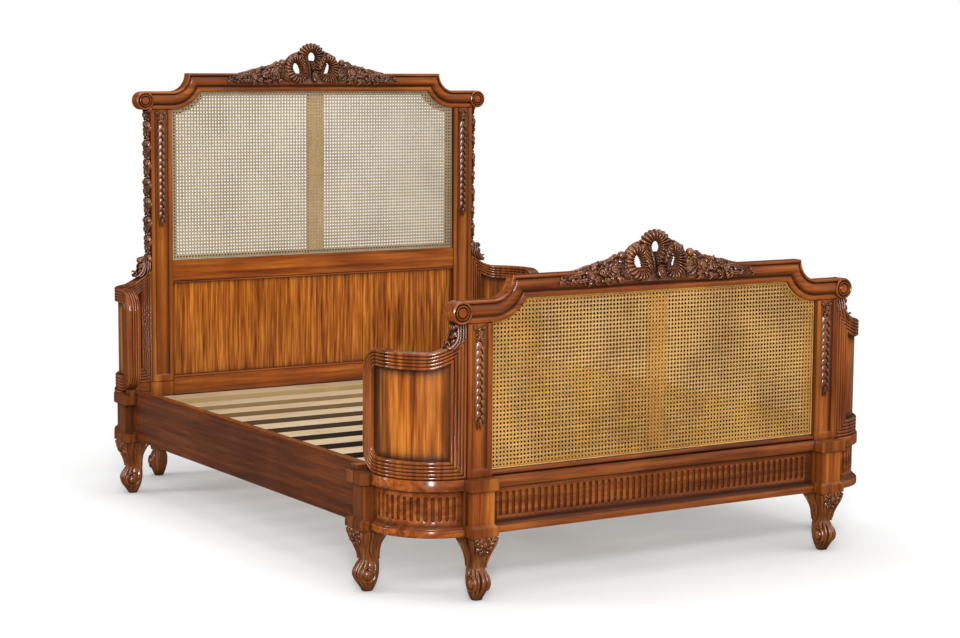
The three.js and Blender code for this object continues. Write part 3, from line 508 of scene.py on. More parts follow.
# Crest rail: beads and a broad band along a level rail with a cove and a volute at each end
RAIL_PROFILE = [  # share of the rail's height from the top, depth from its middle
    (0.0, 14), (0.012, 19), (0.04, 21.6), (0.08, 22.4), (0.12, 21.4), (0.145, 18.6), (0.16, 15.4),
    (0.185, 16.8), (0.23, 19.4), (0.31, 22), (0.41, 23), (0.52, 22.4), (0.62, 20), (0.675, 17),
    (0.705, 13.6), (0.73, 13.6), (0.76, 16), (0.81, 18.2), (0.88, 19), (0.95, 18), (0.985, 16), (1.0, 13)]
BAND_END = 0.74
LEVEL_HALF = 440
# Painted shade over the middle of the foot's crest band
SHADE_HALF, SHADE_FADE = 430, 130  # the foot's rail is darker up to the first, and fades over the second
VOLUTE_FACE = [  # radius, height
    (0, 26), (7, 26), (12, 25.6), (13.8, 24), (14.6, 20.4), (15.6, 20.4), (16.6, 24.4), (18.6, 27), (20.6, 26.2),
    (21.8, 22.6), (22.6, 20), (23.6, 20.6), (24.8, 24.6), (27.6, 27), (30.2, 25.4), (31.8, 22)]
VOLUTE_GROOVES = 15, 22.8  # radii of the rings of glaze on a volute's face
ROLL_DEPTH, ROLL_HALF = 4.2, 19


def rail_stations(top):
    """Upper and lower edge of the crest rail, as pairs of (x, z), from the left to the right."""
    right = [((x, top), (x, top - RAIL_HEIGHT)) for x in np.linspace(0, LEVEL_HALF, 12)]
    for share in np.linspace(1, 0, 18):
        right.append([(COVE_X - radius * math.sin(share * turn), top - radius * math.cos(share * turn))
                      for radius, turn in ((COVE_RADIUS, math.pi / 2), (COVE_OUTER, COVE_TURN))])
    right = np.array([*right, ((VOLUTE_X, top - COVE_RADIUS), (VOLUTE_X, top - COVE_OUTER))])
    return np.concatenate([right[:0:-1] * (-1, 1), right])


def volute():
    """Rolled end of the crest rail, turned about Z: a rim, a ring and a boss on both faces, and beads between."""
    roll = [(VOLUTE_RADIUS - ROLL_DEPTH * abs(math.cos(math.pi * k / 6)) ** 1.5, ROLL_HALF * (1 - k / 9))
            for k in range(1, 18)]
    return lathe(VOLUTE_FACE + roll + [(r, -h) for r, h in VOLUTE_FACE[::-1]], 56)


def crest_rail(board):
    """The rail, with glaze and painted shade along its grooves. The middle of the foot's band is darkened with painted
    shade.
    """
    share, depth = np.array(RAIL_PROFILE).T
    edges = rail_stations(board.rail_top)
    x, z = between(edges, share)
    rail = skin(there_and_back(points(x, board.middle - depth, z), points(x, board.middle + depth, z)))
    glaze_and_shade = np.interp(share, [0.12, 0.16, 0.3, 0.5, 0.7, 0.74, 0.8], [0, 0.75, 0.1, 0.1, 0.85, 0.85, 0])
    # Painted shade over the middle of the foot's band, above its lower bead
    shade = 0.55 * np.clip((SHADE_HALF - np.abs(edges[:, 0, :1])) / SHADE_FADE, 0, 1) * (board is FOOT)
    halo = np.maximum(glaze_and_shade, shade * (share < BAND_END))
    roll = volute()
    height = board.rail_top - COVE_RADIUS - VOLUTE_RADIUS
    ends = [placed(roll, (side * VOLUTE_X, board.middle, height), (1, 0, 0), (0, -1, 0)) for side in SIDES]
    radius = np.hypot(roll[0][:, 0], roll[0][:, 1])
    # Glaze and painted shade in the volutes' grooves and between the beads of their rolls
    beads = np.clip((VOLUTE_RADIUS - 2 - radius) / 2, 0, 1) * (np.abs(roll[0][:, 2]) < ROLL_HALF - 1)
    turned = 0.85 * np.maximum(beads, np.max([np.exp(-((radius - r) / 1.4) ** 2) for r in VOLUTE_GROOVES], 0))
    board.build("crest_rail_shaped", [rail, *ends], "dark X", "crest_rail", 32,
                halo=np.concatenate([there_and_back(halo, halo).ravel(), turned, turned]))


# Carved crest: X across, Y up from the rail's top and +Z out of the carving's middle plane
CREST_LEFT = 19  # the carving stands this far left of the middle, as in the photograph
CREST_FRONT = 4
CREST_LEAN = 16  # its foot comes forward over the rail by this much


def ribbed_ring(centre, radius, hole, lean, half, lobes, smooth_side=None):
    """Ring of plump ribs between a leaning oval hole and a round rim. Its ribs fade towards the smooth side."""
    a, s = np.meshgrid(turns(lobes * 9), turns(28), indexing="ij")
    rib = np.abs(np.sin(lobes * a / 2 + 0.9 * np.cos(s)))
    outward = 0.5 + 0.5 * np.cos(s)
    faded = 0 if smooth_side is None else 0.25 * np.clip(np.cos(a - smooth_side), 0, 1) * outward
    groove = (0.4 - faded) * (1 - rib)
    share = 0.5 + 0.5 * np.cos(s) * (1 - groove * (0.08 + 0.92 * outward))
    x, y = ((h + (radius - h) * share) * wave for h, wave in zip(hole, (np.cos(a), np.sin(a))))
    c, d = math.cos(lean), math.sin(lean)
    ring = points(x * c - y * d, x * d + y * c, half * np.sin(s) * (1 - groove))
    return moved(skin(ring, loop=True), centre)


def cartouche():
    """Small oval shell at the middle of the crest, with stepped rims."""
    profile = [(13.5, -8), (14.5, 4), (13.6, 7.4), (12, 8.4), (10.8, 5.4), (9.4, 5.6), (8.2, 9), (6.8, 9.4), (5.8, 6.6),
               (4.6, 7), (3.4, 10.6), (0, 12)]
    return mapped(lathe(profile, 32), lambda x, y, z: (x, y * 1.35, z))


BERRIES = (
    (124, 8), (134, 14), (130, -10), (142, -12), (174, -14), (184, 4), (190, -22), (212, -18), (220, 0), (226, -24),
    (262, -14), (150, -16), (168, -30), (202, -28), (244, -26), (120, 20), (282, -22), (302, -22), (140, 20),
    (196, 12), (228, 4), (258, 2))


def crest_tail():
    """Right half of the flowers and leaves at a side of the rings."""
    pieces = [ball(13, (122, 38, 2), 18), moved(flower(18, 5, 7), (158, 2, 11)), moved(rose(15, 7), (198, -4, 9)),
              moved(flower(15, 5, 6), (240, -13, 9))]
    pieces += [moved(curl(size, start, sweep), place) for size, start, sweep, *place in (
        (26, 2.4, -4.6, 146, 29, 0), (24, 2.2, -4.4, 176, 17, 3), (22, 2.4, -4.6, 206, 12, 2),
        (20, 2.4, -4.4, 234, 6, 2), (22, 4.2, 4.4, 136, -27, 9), (22, 4.2, 4.4, 180, -29, 8),
        (20, 4.2, 4.4, 218, -30, 8), (18, 4.2, 4.4, 256, -30, 7), (16, 2.0, -4.4, 332, -17, 6),
        (16, 4.2, 4.2, 340, -28, 6))]
    pieces += [blade(*row) for row in (
        ([(92, 50, 0), (104, 26, 4), (108, -4, 6), (100, -30, 4)], 17, 8, 5, 0.25, 0.2),
        ([(96, -22, 6), (116, -14, 10), (136, -2, 8)], 20, 8, 7, 0.6),
        ([(146, 22, 4), (166, 24, 4), (184, 16, 5), (196, 10, 3)], 11, 6, 4),
        ([(178, 12, 4), (204, 18, 5), (224, 8, 4)], 11, 6, 4),
        ([(130, 40, 0), (150, 34, 0), (172, 22, -1), (196, 20, -2), (222, 16, -3)], 14, 7, 9, 0.25, 0.1),
        ([(212, 14, 0), (240, 10, 0), (268, 2, 0), (296, 0, -1)], 14, 6, 6),
        ([(252, -4, 8), (274, -4, 9), (292, -12, 7)], 13, 6, 4),
        ([(250, -20, 8), (272, -26, 9), (294, -24, 7)], 13, 6, 4),
        ([(276, -12, 8), (298, -13, 8), (318, -20, 7)], 13, 6, 4),
        ([(296, -8, 6), (314, -8, 6), (330, -14, 5)], 10, 5, 3),
        ([(286, -30, 6), (306, -30, 7), (326, -26, 5)], 10, 5, 3))]
    pieces += [ball(4.2 - 0.3 * k, (116 - 1.2 * abs(k - 2.5) ** 1.5, 24 - 9.5 * k, 10)) for k in range(6)]
    for k, (x, y) in enumerate(BERRIES):
        pieces.append(ball(4 + k % 3, (x, y, 8 + k % 2)))
        pieces.append(placed(leaf(20, 11, 6, 1.2), (x, y, 6), (math.cos(1.7 * k), math.sin(1.7 * k), 0.3)))
    ground = [(90, -34), (200, -38), (300, -36), (344, -30), (346, -24), (318, -6), (262, 2), (224, 12), (186, 14),
              (150, 26), (112, 38), (90, 44)]
    return join([*pieces, prism(ground, -12, 4)])


def flipped(shape, side):
    return mapped(shape, lambda x, y, z: (x * side, y, z))


def crest_carving(board):
    """Three ribbed rings with a cartouche, crossing blades, flowers and leaf tails, a little left of the middle."""
    top = ribbed_ring((0, 58, -3), 52, (12, 17), 0.1, 18, 22)
    core = [(-70, -36), (70, -36), (52, -8), (20, 6), (0, 16), (-20, 6), (-52, -8)]
    shapes = [
        mapped(top, lambda x, y, z: (x * 1.12, y, z)),
        ribbed_ring((-64, 16, 0), 52, (12, 22), 0.35, 20, 22, math.pi - 0.6),
        ribbed_ring((56, 16, 0), 54, (13, 22), -0.4, 20, 24),
        moved(cartouche(), (2, -10, 16)),
        blade([(46, 72, 4), (42, 56, 14), (30, 36, 18), (18, 12, 18)], 20, 11, 6, groove=0.0),
        blade([(-42, 70, 4), (-38, 52, 12), (-33, 32, 16), (-29, 10, 18), (-28, -12, 12)], 30, 13, 6, 0.6),
        blade([(-10, 46, 12), (-6, 30, 18), (-5, 10, 18)], 20, 12, 4, 0.5),
        blade([(54, 34, 6), (42, 22, 12), (32, 6, 16), (26, -12, 14)], 18, 11, 5, 0.5),
        prism(core, -12, 10),
    ]
    outer = blade([(40, 74, -4), (60, 71, -4), (82, 60, -5), (98, 46, -6), (108, 38, -6)], 15, 7, 6)
    half = join([crest_tail(), outer, ball(9.5, (67, 62, 4), 14), ball(9.5, (88, 54, 2), 14)])
    shapes += [flipped(half, side) for side in SIDES]
    lean = lambda y: CREST_LEAN * np.clip((12 - y) / 40, 0, 1)
    middle = board.middle - CREST_FRONT
    shape = mapped(join(shapes), lambda x, y, z: (x - CREST_LEFT, middle - z - lean(y), board.rail_top + y))
    board.build("crest_carved", [shape], "carved", "crest_carving", 50)


# Posts: beads round a sunk panel, with a carved drop of bell husks
PANEL_DEPTH = 6
BEAD = [  # inset from the post's edge, depth
    (0, 0), (0.4, -0.1), (2, 0), (12.5, 0), (14.4, 0.5), (15.4, 2.2), (16, 4.6), (18, PANEL_DEPTH), (22, PANEL_DEPTH),
    (30, PANEL_DEPTH)]
HUSK_LENGTH = 36
HUSK_START = 32


def post_ring(board, side, z, sunk):
    """Section of a post at height z, with its panels sunk by a share of their depth."""
    front = [(OPENING_HALF + inset, depth) for inset, depth in BEAD]
    front += [(POST_OUTER - inset, depth) for inset, depth in BEAD[::-1]]
    return [(side * x, board.middle + face * (POST_HALF - depth * sunk), z)
            for face, row in ((-1, front), (1, front[::-1])) for x, depth in row]


def husks(count, pitch):
    """Drop of laurel down -Y facing +Z: leaves slope away from a middle ridge, under a flower."""
    pieces = [moved(flower(14, 5, 6), (0, -11, 2))]
    for side in SIDES:
        pieces.append(moved(curl(20, 1.57 - side * 0.6, side * 4.2), (side * 9, -24, 2)))
        pieces.append(placed(leaf(22, 11, 6, 0.9), (side * 4, -2, 2), (side, 0.35, 0.1)))
        pieces += [ball(3.4, (side * (4 + 3 * (k % 3)), -30 - 3 * k, 3), 8) for k in range(4)]
        lean, tilt, rise, bend, lag = (0.28, 0.66, 2.6, 0.1, 0) if side < 0 else (0.42, 1.15, 6, 0.4, 0.5)
        for k in range(count):
            size = HUSK_LENGTH * (1 - 0.22 * k / count)
            husk = leaf(size * 1.25, size * 0.62, rise, bend, 14, point=0.5)
            place = side * 4, -HUSK_START - (k + lag) * pitch, 4.5
            pieces.append(placed(husk, place, (side * lean, -1, -0.1), (side * tilt, 0, 1)))
        tip = side, -HUSK_START - count * pitch, 3
        pieces.append(placed(leaf(HUSK_LENGTH, 8, 4, 0.3), tip, (side * 0.16, -1, 0), (side * 0.5, 0, 1)))
    return join(pieces)


def post(board, side):
    (_, _, bottom), (_, _, top) = corners(board.node("post", side))
    shaft = [(PLINTH_TOP + z, sunk) for z, sunk in ((-2, 0), (20, 0), (23, 0.5), (25, 0.95), (26, 1), (30, 1))]
    x, y = sorted((side * OPENING_HALF, side * BLOCK_OUTER)), sorted((board.y(POST_FRONT), board.y(POST_BACK)))
    pieces = [skin([post_ring(board, side, z, sunk) for z, sunk in [*shaft, (top, 1)]]),
              block((x[0], y[0], bottom), (x[1], y[1], PLINTH_TOP))]

    def halo(x, y, z):
        # Glaze and painted shade in the grooves beside the beads, above the plinth
        inset = np.minimum(np.abs(x) - OPENING_HALF, POST_OUTER - np.abs(x))
        glaze_and_shade = np.interp(inset, [0, 1, 3, 13, 15, 16.5, 19, 29], [0.7, 0.4, 0, 0, 0.6, 0.95, 0.6, 0])
        return np.where(z > PLINTH_TOP + 22, glaze_and_shade, 0)

    board.build("post_shaped", pieces, "polished Z", "post", 40, side, halo=halo)
    count, pitch = (10, 21.4) if board is FOOT else (14, 23.5)
    centre, face = side * (OPENING_HALF + POST_OUTER) / 2, board.middle - POST_HALF + PANEL_DEPTH
    drop = mapped(husks(count, pitch), lambda x, y, z: (centre + x, face - z, top - 14 + y))
    board.build("post_husks", [drop], "carved", None, 50, side)


# Wings: a reeded frame bent round the corner, and a veneered panel in it
REEDS = 5
EDGE_REEDS = 4
REED_DEPTH = 4.8
EDGE_REED_DEPTH = 4.2
WING_BAND = 47
STILE = 51
WING_CORNER, INNER_CORNER = 70, 24  # radii of the band's edges at the far corners
VENEER_HALF = 10
VENEER_GLAZE_AND_SHADE = 17  # reach of the dark edge of the veneer


def wing_place(board, side, s, r, z):
    """Place at s along the outer face from the post, radius r about the corner's centre, height z."""
    arc = s - WING_START
    turn = np.clip(arc / WING_RADIUS, 0, np.pi / 2)
    x = BLOCK_OUTER + GAP + np.minimum(arc, 0) + r * np.sin(turn)
    depth = ARC_DEPTH - r * np.cos(turn) + np.maximum(arc - WING_RADIUS * np.pi / 2, 0)
    return side * x, board.y(depth), z


def wing_top(s):
    return WING_TOP + (WING_CREST - WING_TOP) * np.maximum(0, 1 - s / WING_SWEEP) ** 1.4


def wing_stations():
    """Outer and inner edge of the reeded band, as pairs of (s, z), all the way round a wing."""
    hub = WING_LENGTH - WING_CORNER
    run, turn = np.linspace(0, 1, 30), np.linspace(0, np.pi / 2, 12)
    outer, inner = run * hub, STILE + run * (hub - STILE)
    sill = WING_BAND + 4
    stations = [((s, WING_BOTTOM), (t, WING_BOTTOM + sill)) for s, t in zip(outer, inner)]
    for level, away, band, sweep in ((WING_BOTTOM, 1, sill, turn[1:]), (WING_TOP, -1, WING_BAND, turn[::-1])):
        stations += [[(hub + r * math.sin(t), level + away * (inset + r - r * math.cos(t)))
                      for r, inset in ((WING_CORNER, 0), (INNER_CORNER, band))] for t in sweep]
    stations += [((s, wing_top(s)), (t, wing_top(t) - WING_BAND)) for s, t in zip(outer[-2::-1], inner[-2::-1])]
    return np.array(stations)


def reeds(share, count):
    """How far down between crest (0) and groove (1) a row of reeds is, at a share of its width."""
    return 1 - np.sqrt(np.maximum(0, 1 - (2 * (share * count % 1) - 1) ** 2))


def wing(board, side):
    share, across = (np.linspace(0, 1, 8 * count + 1) for count in (REEDS, EDGE_REEDS))
    across = across[1:-1]
    outer = WING_RADIUS - REED_DEPTH * reeds(share, REEDS)
    inner = 2 * WING_RADIUS - WING_THICKNESS - outer
    radius = np.concatenate([outer, inner[::-1], inner[0] + across * (outer[0] - inner[0])])
    edge = EDGE_REED_DEPTH / WING_BAND * reeds(across, EDGE_REEDS)
    stations = wing_stations()
    s, z = between(stations, np.concatenate([share, share[::-1], edge]))
    rings = points(*wing_place(board, side, s, radius, z))
    board.build("wing_reeded", [skin(rings, loop=True)], "reeded", "wing_frame", 36, side)
    inner = stations[:, 1]
    half = len(inner) // 2
    (s, low), high = inner[:half].T[..., None], inner[::-1][:half, 1:]
    z = low + (high - low) * [0, 0.02, 0.05, 0.09, 0.15, 0.25, 0.5, 0.75, 0.85, 0.91, 0.95, 0.98, 1]
    middle = WING_RADIUS - WING_THICKNESS / 2
    faces = [points(*wing_place(board, side, s, middle + depth, z)) for depth in (VENEER_HALF, -VENEER_HALF)]
    # The veneer darkens towards the frame round it: glaze and painted shade
    beside = np.minimum((s - s[0]) * 1.6, (s[-1] - s) * 0.36)
    halo = np.exp(-((np.minimum(np.minimum(z - low, high - z), beside) / VENEER_GLAZE_AND_SHADE) ** 2))
    board.build("wing_veneer", [skin(there_and_back(*faces))], "veneer", "wing_panel", 40, side,
                halo=there_and_back(halo, halo).ravel())


# Plinths: base and cap mouldings with a fluted frieze between them
FLUTE_WIDTH = 11
FLUTE_PITCH = 21.8
FLUTE_MARGIN = 12
FRIEZE_INSET = 14
CORE_INSET = FRIEZE_INSET + 7.6
CORE_LAP = 9
CURVED_BACK = 41
BASE_TOP = LEG_TOP + 30
CAP_BOTTOM = PLINTH_TOP - 32
FRIEZE_LOW, FRIEZE_HIGH = BASE_TOP + 2, CAP_BOTTOM - 4
BASE_PROFILE = [  # setback behind the cap's face, height
    (2, LEG_TOP), (-1, LEG_TOP + 0.8), (-2, LEG_TOP + 3), (-2, BASE_TOP - 13), (-1.2, BASE_TOP - 10.6),
    (0.8, BASE_TOP - 9), (3.4, BASE_TOP - 8.4), (4.4, BASE_TOP - 8), (5.2, BASE_TOP - 5.6), (7.6, BASE_TOP - 2.6),
    (11, BASE_TOP - 0.4), (FRIEZE_INSET, FRIEZE_LOW)]
CAP_PROFILE = [
    (FRIEZE_INSET, FRIEZE_HIGH), (10, CAP_BOTTOM - 3.4), (5, CAP_BOTTOM - 0.6), (1.2, CAP_BOTTOM + 0.4),
    (0, CAP_BOTTOM + 1.6), (0, PLINTH_TOP - 2), (0.6, PLINTH_TOP - 0.6), (2, PLINTH_TOP)]
CORE_PROFILE = [(CORE_INSET, BASE_TOP - 6), (CORE_INSET, CAP_BOTTOM + 2)]


def flute_cell():
    """One flute and the flat round it, in (across, depth, height)."""
    half, side = FLUTE_WIDTH / 2, FLUTE_PITCH / 2
    bottom, top = FRIEZE_LOW + FLUTE_MARGIN + half, FRIEZE_HIGH - FLUTE_MARGIN - half
    corner = math.atan2(FRIEZE_HIGH - top, side)
    angles = np.concatenate([np.linspace(0, corner, 4)[:-1], np.linspace(corner, np.pi - corner, 7)[:-1],
                             np.linspace(np.pi - corner, np.pi, 4)])
    c, s = np.cos(angles), np.sin(angles)
    reach = np.minimum(side / np.maximum(np.abs(c), 1e-6), (FRIEZE_HIGH - top) / np.maximum(s, 1e-6))
    steps = ((reach, 0), (half + 0.7, 0), (half, 0.4), (half - 0.5, 5.6), (half - 1.6, 6.8), (half - 3.4, 7.2))
    rings = [np.concatenate([points(r * c, depth, top + r * s), points(-r * c, depth, bottom - r * s)])
             for r, depth in steps]
    places, faces = skin(rings, caps=False)
    return places, faces + [(len(places) - len(rings[0]) + np.arange(len(rings[0])))[None]]


def fluted(place, start, end, count):
    """Frieze from start to end along a face: flutes at one pitch with a plain margin at both ends."""
    cell = flute_cell()
    first = (start + end) / 2 - (count - 1) / 2 * FLUTE_PITCH
    pieces = [mapped(cell, lambda x, y, z: place(x + first + k * FLUTE_PITCH, y, z)) for k in range(count)]
    for a, b in ((start, first - FLUTE_PITCH / 2), (first + (count - 0.5) * FLUTE_PITCH, end)):
        strip = [[(s, 0, FRIEZE_LOW), (s, 0, FRIEZE_HIGH)] for s in np.linspace(a, b, 6)]
        pieces.append(mapped(skin(strip, closed=False), place))
    return pieces


def profile_sweep(profile, back, stations, place):
    """Moulding carried past stations along a face, closed at a setback behind it."""
    setbacks, heights = np.array([*profile, (back, profile[-1][1]), (back, profile[0][1])]).T
    return skin([points(*place(s, setbacks, heights)) for s in stations])


def plinth(board, piece, place, ends, core_ends, back, flutes, material, glaze_and_shade, side=None):
    """Mouldings and frieze along a face. Place turns (along, setback, height) into a place in the bed."""
    pieces = [profile_sweep(profile, back, stations, place) for profile, stations in
              ((BASE_PROFILE, ends), (CAP_PROFILE, ends), (CORE_PROFILE, core_ends))]
    pieces += fluted(lambda s, depth, z: place(s, FRIEZE_INSET + depth, z), core_ends[0], core_ends[-1], flutes)

    def halo(x, y, z):
        # Glaze and painted shade: a dark band along the base's cove, and a thinner one under the cap
        base, cap = np.exp(-(((z - BASE_TOP) / 10) ** 4)), np.exp(-(((z - CAP_BOTTOM + 2) / 4) ** 2))
        return glaze_and_shade * (0.86 * base + 0.6 * cap)

    board.build(piece + "_fluted", pieces, material, piece, 34, side, halo=halo)


def straight_plinth(board):
    place = lambda s, setback, z: (s, board.y(CAP_SETBACK + setback), z)
    ends = np.linspace(GAP - OPENING_HALF, OPENING_HALF - GAP, 5)
    plinth(board, "plinth", place, ends, ends, POST_BACK - CAP_SETBACK, 51, "polished X", 1.0)


def curved_plinth(board, side):
    """Plinth round the corner. Its core and frieze run on behind the end block's face."""
    arc = CAP_RADIUS * math.pi / 2
    end = arc + END_BLOCK_FRONT - ARC_DEPTH - GAP

    def place(s, setback, z):
        turn = np.clip(s / CAP_RADIUS, 0, np.pi / 2)
        r = CAP_RADIUS - setback
        depth = ARC_DEPTH - r * np.cos(turn) + np.maximum(s - arc, 0)
        return side * (BLOCK_OUTER + r * np.sin(turn) + GAP * (turn == 0)), board.y(depth), z

    ends, core_ends = ([*np.linspace(0, arc, 34), stop] for stop in (end, end + CORE_LAP))
    plinth(board, "curved_plinth", place, ends, core_ends, CURVED_BACK, 13, "dark X", 0.8, side)


# Legs: cabriole with a gadrooned scroll toe, a carved knee and raised spines down both sides
LEG_STATIONS = [  # height, front, back, half width, squareness, depth of the gadroons
    (0, 30, 56, 14, 3.0, 0), (6, 27, 60, 17, 2.8, 0.3), (20, 16, 68, 22, 2.6, 0.8), (35, 5, 74, 26, 2.5, 1),
    (50, 0, 77, 27.5, 2.5, 1), (62, 1, 78, 27, 2.5, 1), (74, 8, 78, 25, 2.6, 0.9), (84, 16, 77, 22, 3.0, 0.6),
    (91, 22, 76, 20, 3.6, 0.1), (100, 22, 75, 20.5, 4.5, 0), (118, 18, 75, 24, 5.0, 0), (138, 11, 77, 30, 6.0, 0),
    (156, 4, 84, 37, 7.0, 0), (170, 1, 94, 41, 9.0, 0), (182 - GAP, 0, 105, 43, 11.0, 0)]
TOE_SCROLL = [(20, -8), (20.6, 2), (19.8, 5), (17.6, 6.8), (15.4, 5.4), (14, 2), (12.8, 1.4), (12, 3.4), (10.6, 6.6),
              (8, 9.4), (4.4, 11.4), (0, 12)]
SCROLL_SIZE = 1.25
END_LEG_MIDDLE = END_BLOCK_FRONT + 50


def leg_shapes():
    """One leg with its front to -Y at y = 0 and its middle on x = 0."""
    stations = spline(LEG_STATIONS, 6)
    edges_at = lambda z: [np.interp(z, stations[:, 0], stations[:, k]) for k in (1, 2, 3)]
    face = lambda z: edges_at(z)[0]
    towards = dict(along=(1, 0, 0), up=(0, -1, 0))
    turn, (z, front, back, half, square, lobed) = turns(108), stations.T[..., None]
    c, s = np.cos(turn), np.sin(turn)
    lobe = np.abs(np.sin(5.5 * (turn + np.pi / 2) + np.pi / 2)) ** 0.7
    keep = 1 - 0.26 * np.maximum(lobed, 0) * (1 - lobe) * np.clip(0.35 - s, 0, 0.3) / 0.3
    scoop = 0.16 * np.clip((z - 88) / 25, 0, 1) * np.clip(1 - (s / 0.55) ** 2, 0, 1)
    x, y = (np.sign(wave) * np.abs(wave) ** (2 / square) * keep for wave in (c, s))
    pieces = [skin(points(half * x * (1 - scoop), (front + back) / 2 + (back - front) / 2 * y, np.maximum(z, 0))),
              placed(flower(13, 5, 7), (0, face(164) + 1, 163), **towards)]
    rim = np.linspace(92, 178, 16)
    front, back, half = edges_at(rim)
    z, depth = np.transpose([(176, 40), (162, 43), (142, 42), (120, 44), (100, 50), (84, 56), (68, 58), (54, 54)])
    spine = edges_at(z)[2] * np.where(z > 95, 0.86, 0.8) + 1
    scroll = mapped(lathe(TOE_SCROLL, 36), lambda x, y, z: (x * SCROLL_SIZE, y * SCROLL_SIZE, z))
    for side in SIDES:
        path = spline(points(side * spine, depth, z), 6)
        pieces += [tube(points(side * (half - 1.6), front + 2, rim), np.linspace(3.2, 4.4, 16), normal=(0, 1, 0)),
                   tube(points(side * (half - 2.5), back - 4, rim), 2.6, normal=(0, 1, 0)),
                   tube(path, np.interp(np.arange(len(path)), [0, 20, len(path)], [3, 4.4, 5.4]), normal=(0, 1, 0)),
                   placed(scroll, (side * 21, 34, 49), (0, 1, 0), (side, 0, 0))]
        for x, h, size, lean in ((25, 172, 24, 0.5), (21, 158, 24, 1.4), (12, 146, 22, 0.5), (33, 168, 16, -0.2)):
            along = side * (lean - 1) * 0.5, 0.25, -1
            pieces.append(placed(leaf(size, size * 0.5, 6, 1.0), (side * x, face(h) + 1, h), along, (0, -1, 0)))
        for x, h, size in ((20, 175, 18), (32, 177, 15), (15, 152, 15), (7, 141, 13)):
            pieces.append(placed(curl(size, 1.57, side * 4.4, 3), (side * x, face(h) + 0.5, h), **towards))
    share = np.linspace(0, 1, 8)
    for x, top, foot in ((0, 150, 92), (-7, 142, 95), (7, 142, 95), (-14, 136, 100), (14, 136, 100)):
        h = top + (foot - top) * share
        pieces.append(tube(points(x * (1 - 0.5 * share), face(h) + 1.4, h),
                           3.3 * np.sin(np.linspace(0.5, 2.9, 8)) + 0.3, normal=(0, 1, 0)))
    return join(pieces)


def legs(board):
    """A leg under each post that faces away from the bed, and one under each end block that faces sideways."""
    shape = leg_shapes()
    for side in SIDES:
        across = side * (OPENING_HALF + BLOCK_OUTER) / 2
        along = mapped(shape, lambda x, y, z: (across + x, board.y(y + GAP), z))
        board.build("post_leg_carved", [along], "leg", "post_leg", 45, side)
        inward = mapped(shape, lambda x, y, z: (side * (END_BLOCK_OUTER - GAP - y), board.y(END_LEG_MIDDLE + x), z))
        board.build("end_leg_carved", [inward], "leg", "end_leg", 45, side)


# Scrolls between the wings and the volutes of the foot board, and garlands on the head posts
SCROLL_HALF = 13
SCROLL_NARROW = 0.78
GARLAND_MOTIFS = 8


SCROLL_RIBS = (  # places and radii along each rib
    ([(33, 4), (37, -12), (38, -30), (45, -45), (58, -57), (71, -63), (79, -58)], [2.5, 5, 6.4, 6.6, 6, 4.6, 2.6]),
    ([(23, 4), (27, -14), (29, -32), (34, -47), (45, -59), (58, -66)], [2.5, 4.6, 5.4, 5.4, 4.4, 2.4]),
    ([(13, 4), (16, -16), (18, -34), (22, -48), (30, -59)], [2.5, 4.4, 5, 4.6, 2.4]),
    ([(4, 4), (6, -18), (8, -36), (12, -50)], [2.5, 4.2, 4.6, 2.4]))


def acanthus_scroll():
    """Leaf that hangs from (0, 0) against the post and rolls out over the wing: X outwards, Y up, on both faces."""
    outline = [(-1, 6), (30, 4), (46, -2), (40, -16), (48, -28), (58, -35), (50, -44), (60, -54), (76, -56), (74, -66),
               (52, -66), (30, -62), (10, -56), (-1, -50)]
    face = [placed(curl(20, 0.6, 4.6, 5), (76, -54, 8), (1, 0, 0)), ball(9.5, (50, -8, 6), 18, 1)]
    for rib, radii in SCROLL_RIBS:
        path = spline([(x, y, 12 + 5 * math.sin(0.5 * k)) for k, (x, y) in enumerate(rib)], 6)
        thick = np.interp(np.linspace(0, 1, len(path)), np.linspace(0, 1, len(radii)), radii)
        face.append(tube(path, thick, 1.1, sides=10))
    for length, width, rise, place, along in ((30, 17, 6, (36, -19, 13), (1, -0.72, 0)),
                                              (27, 15, 6, (44, -38, 12), (1, -0.8, 0)),
                                              (22, 12, 5, (40, 4, 12), (0.5, -1, 0))):
        face.append(placed(leaf(length, width, rise, 0.8), place, along))
    front = join(face)
    back = mapped(front, lambda x, y, z: (x, y, -z))
    return join([prism(outline, -SCROLL_HALF, SCROLL_HALF), front, back])


def wing_scroll(board, side):
    base = board.rail_top - COVE_OUTER if board is FOOT else wing_top(0) + 44
    place = lambda x, y, z: (side * (POST_OUTER + GAP + x * SCROLL_NARROW), board.middle - z, base + y)
    return mapped(acanthus_scroll(), place)


def garland_motif(k):
    """Open flower with leaves and berries on a rope, facing +Z, hanging down -Y, one pitch long."""
    pieces = [moved(flower(19, 6, 9), (-3 + 6 * (k % 2), 16, 6)), moved(rose(14, 10), (5 - 10 * (k % 2), -20, 6))]
    for side in SIDES:
        for (x, y, z), (length, width, rise, bend), lean, down, tilt in (
                ((3, -4, 2), (36, 19, 8, 1.0), 0.75, -1, 0.5), ((5, 24, 1), (30, 16, 7, 1.0), 0.9, 0.5, 0.5),
                ((4, -26, 3), (28, 14, 7, 0.9), 0.6, -1, 0.4)):
            pieces.append(placed(leaf(length, width, rise, bend), (side * x, y, z), (side * lean, down, 0.1),
                                 (side * tilt, 0, 1)))
        pieces += [ball(5, (side * 15, 0, 4)), ball(4.4, (side * 12, -9, 5))]
    return join(pieces)


def garland(side):
    low, high = wing_top(0) + 30, HEAD.rail_bottom
    pitch = (high - low) / GARLAND_MOTIFS
    pieces = [block((-9, low - 20, -1), (9, high - 2, 5))]
    pieces += [moved(garland_motif(k), (0, low + (k + 0.5) * pitch, 3)) for k in range(GARLAND_MOTIFS)]
    outward = mapped(join(pieces), lambda x, y, z: (side * (POST_OUTER + GAP + z), HEAD.middle + x, y))
    HEAD.build("garland_carved", [outward, wing_scroll(HEAD, side)], "carved", "garland", 50, side)


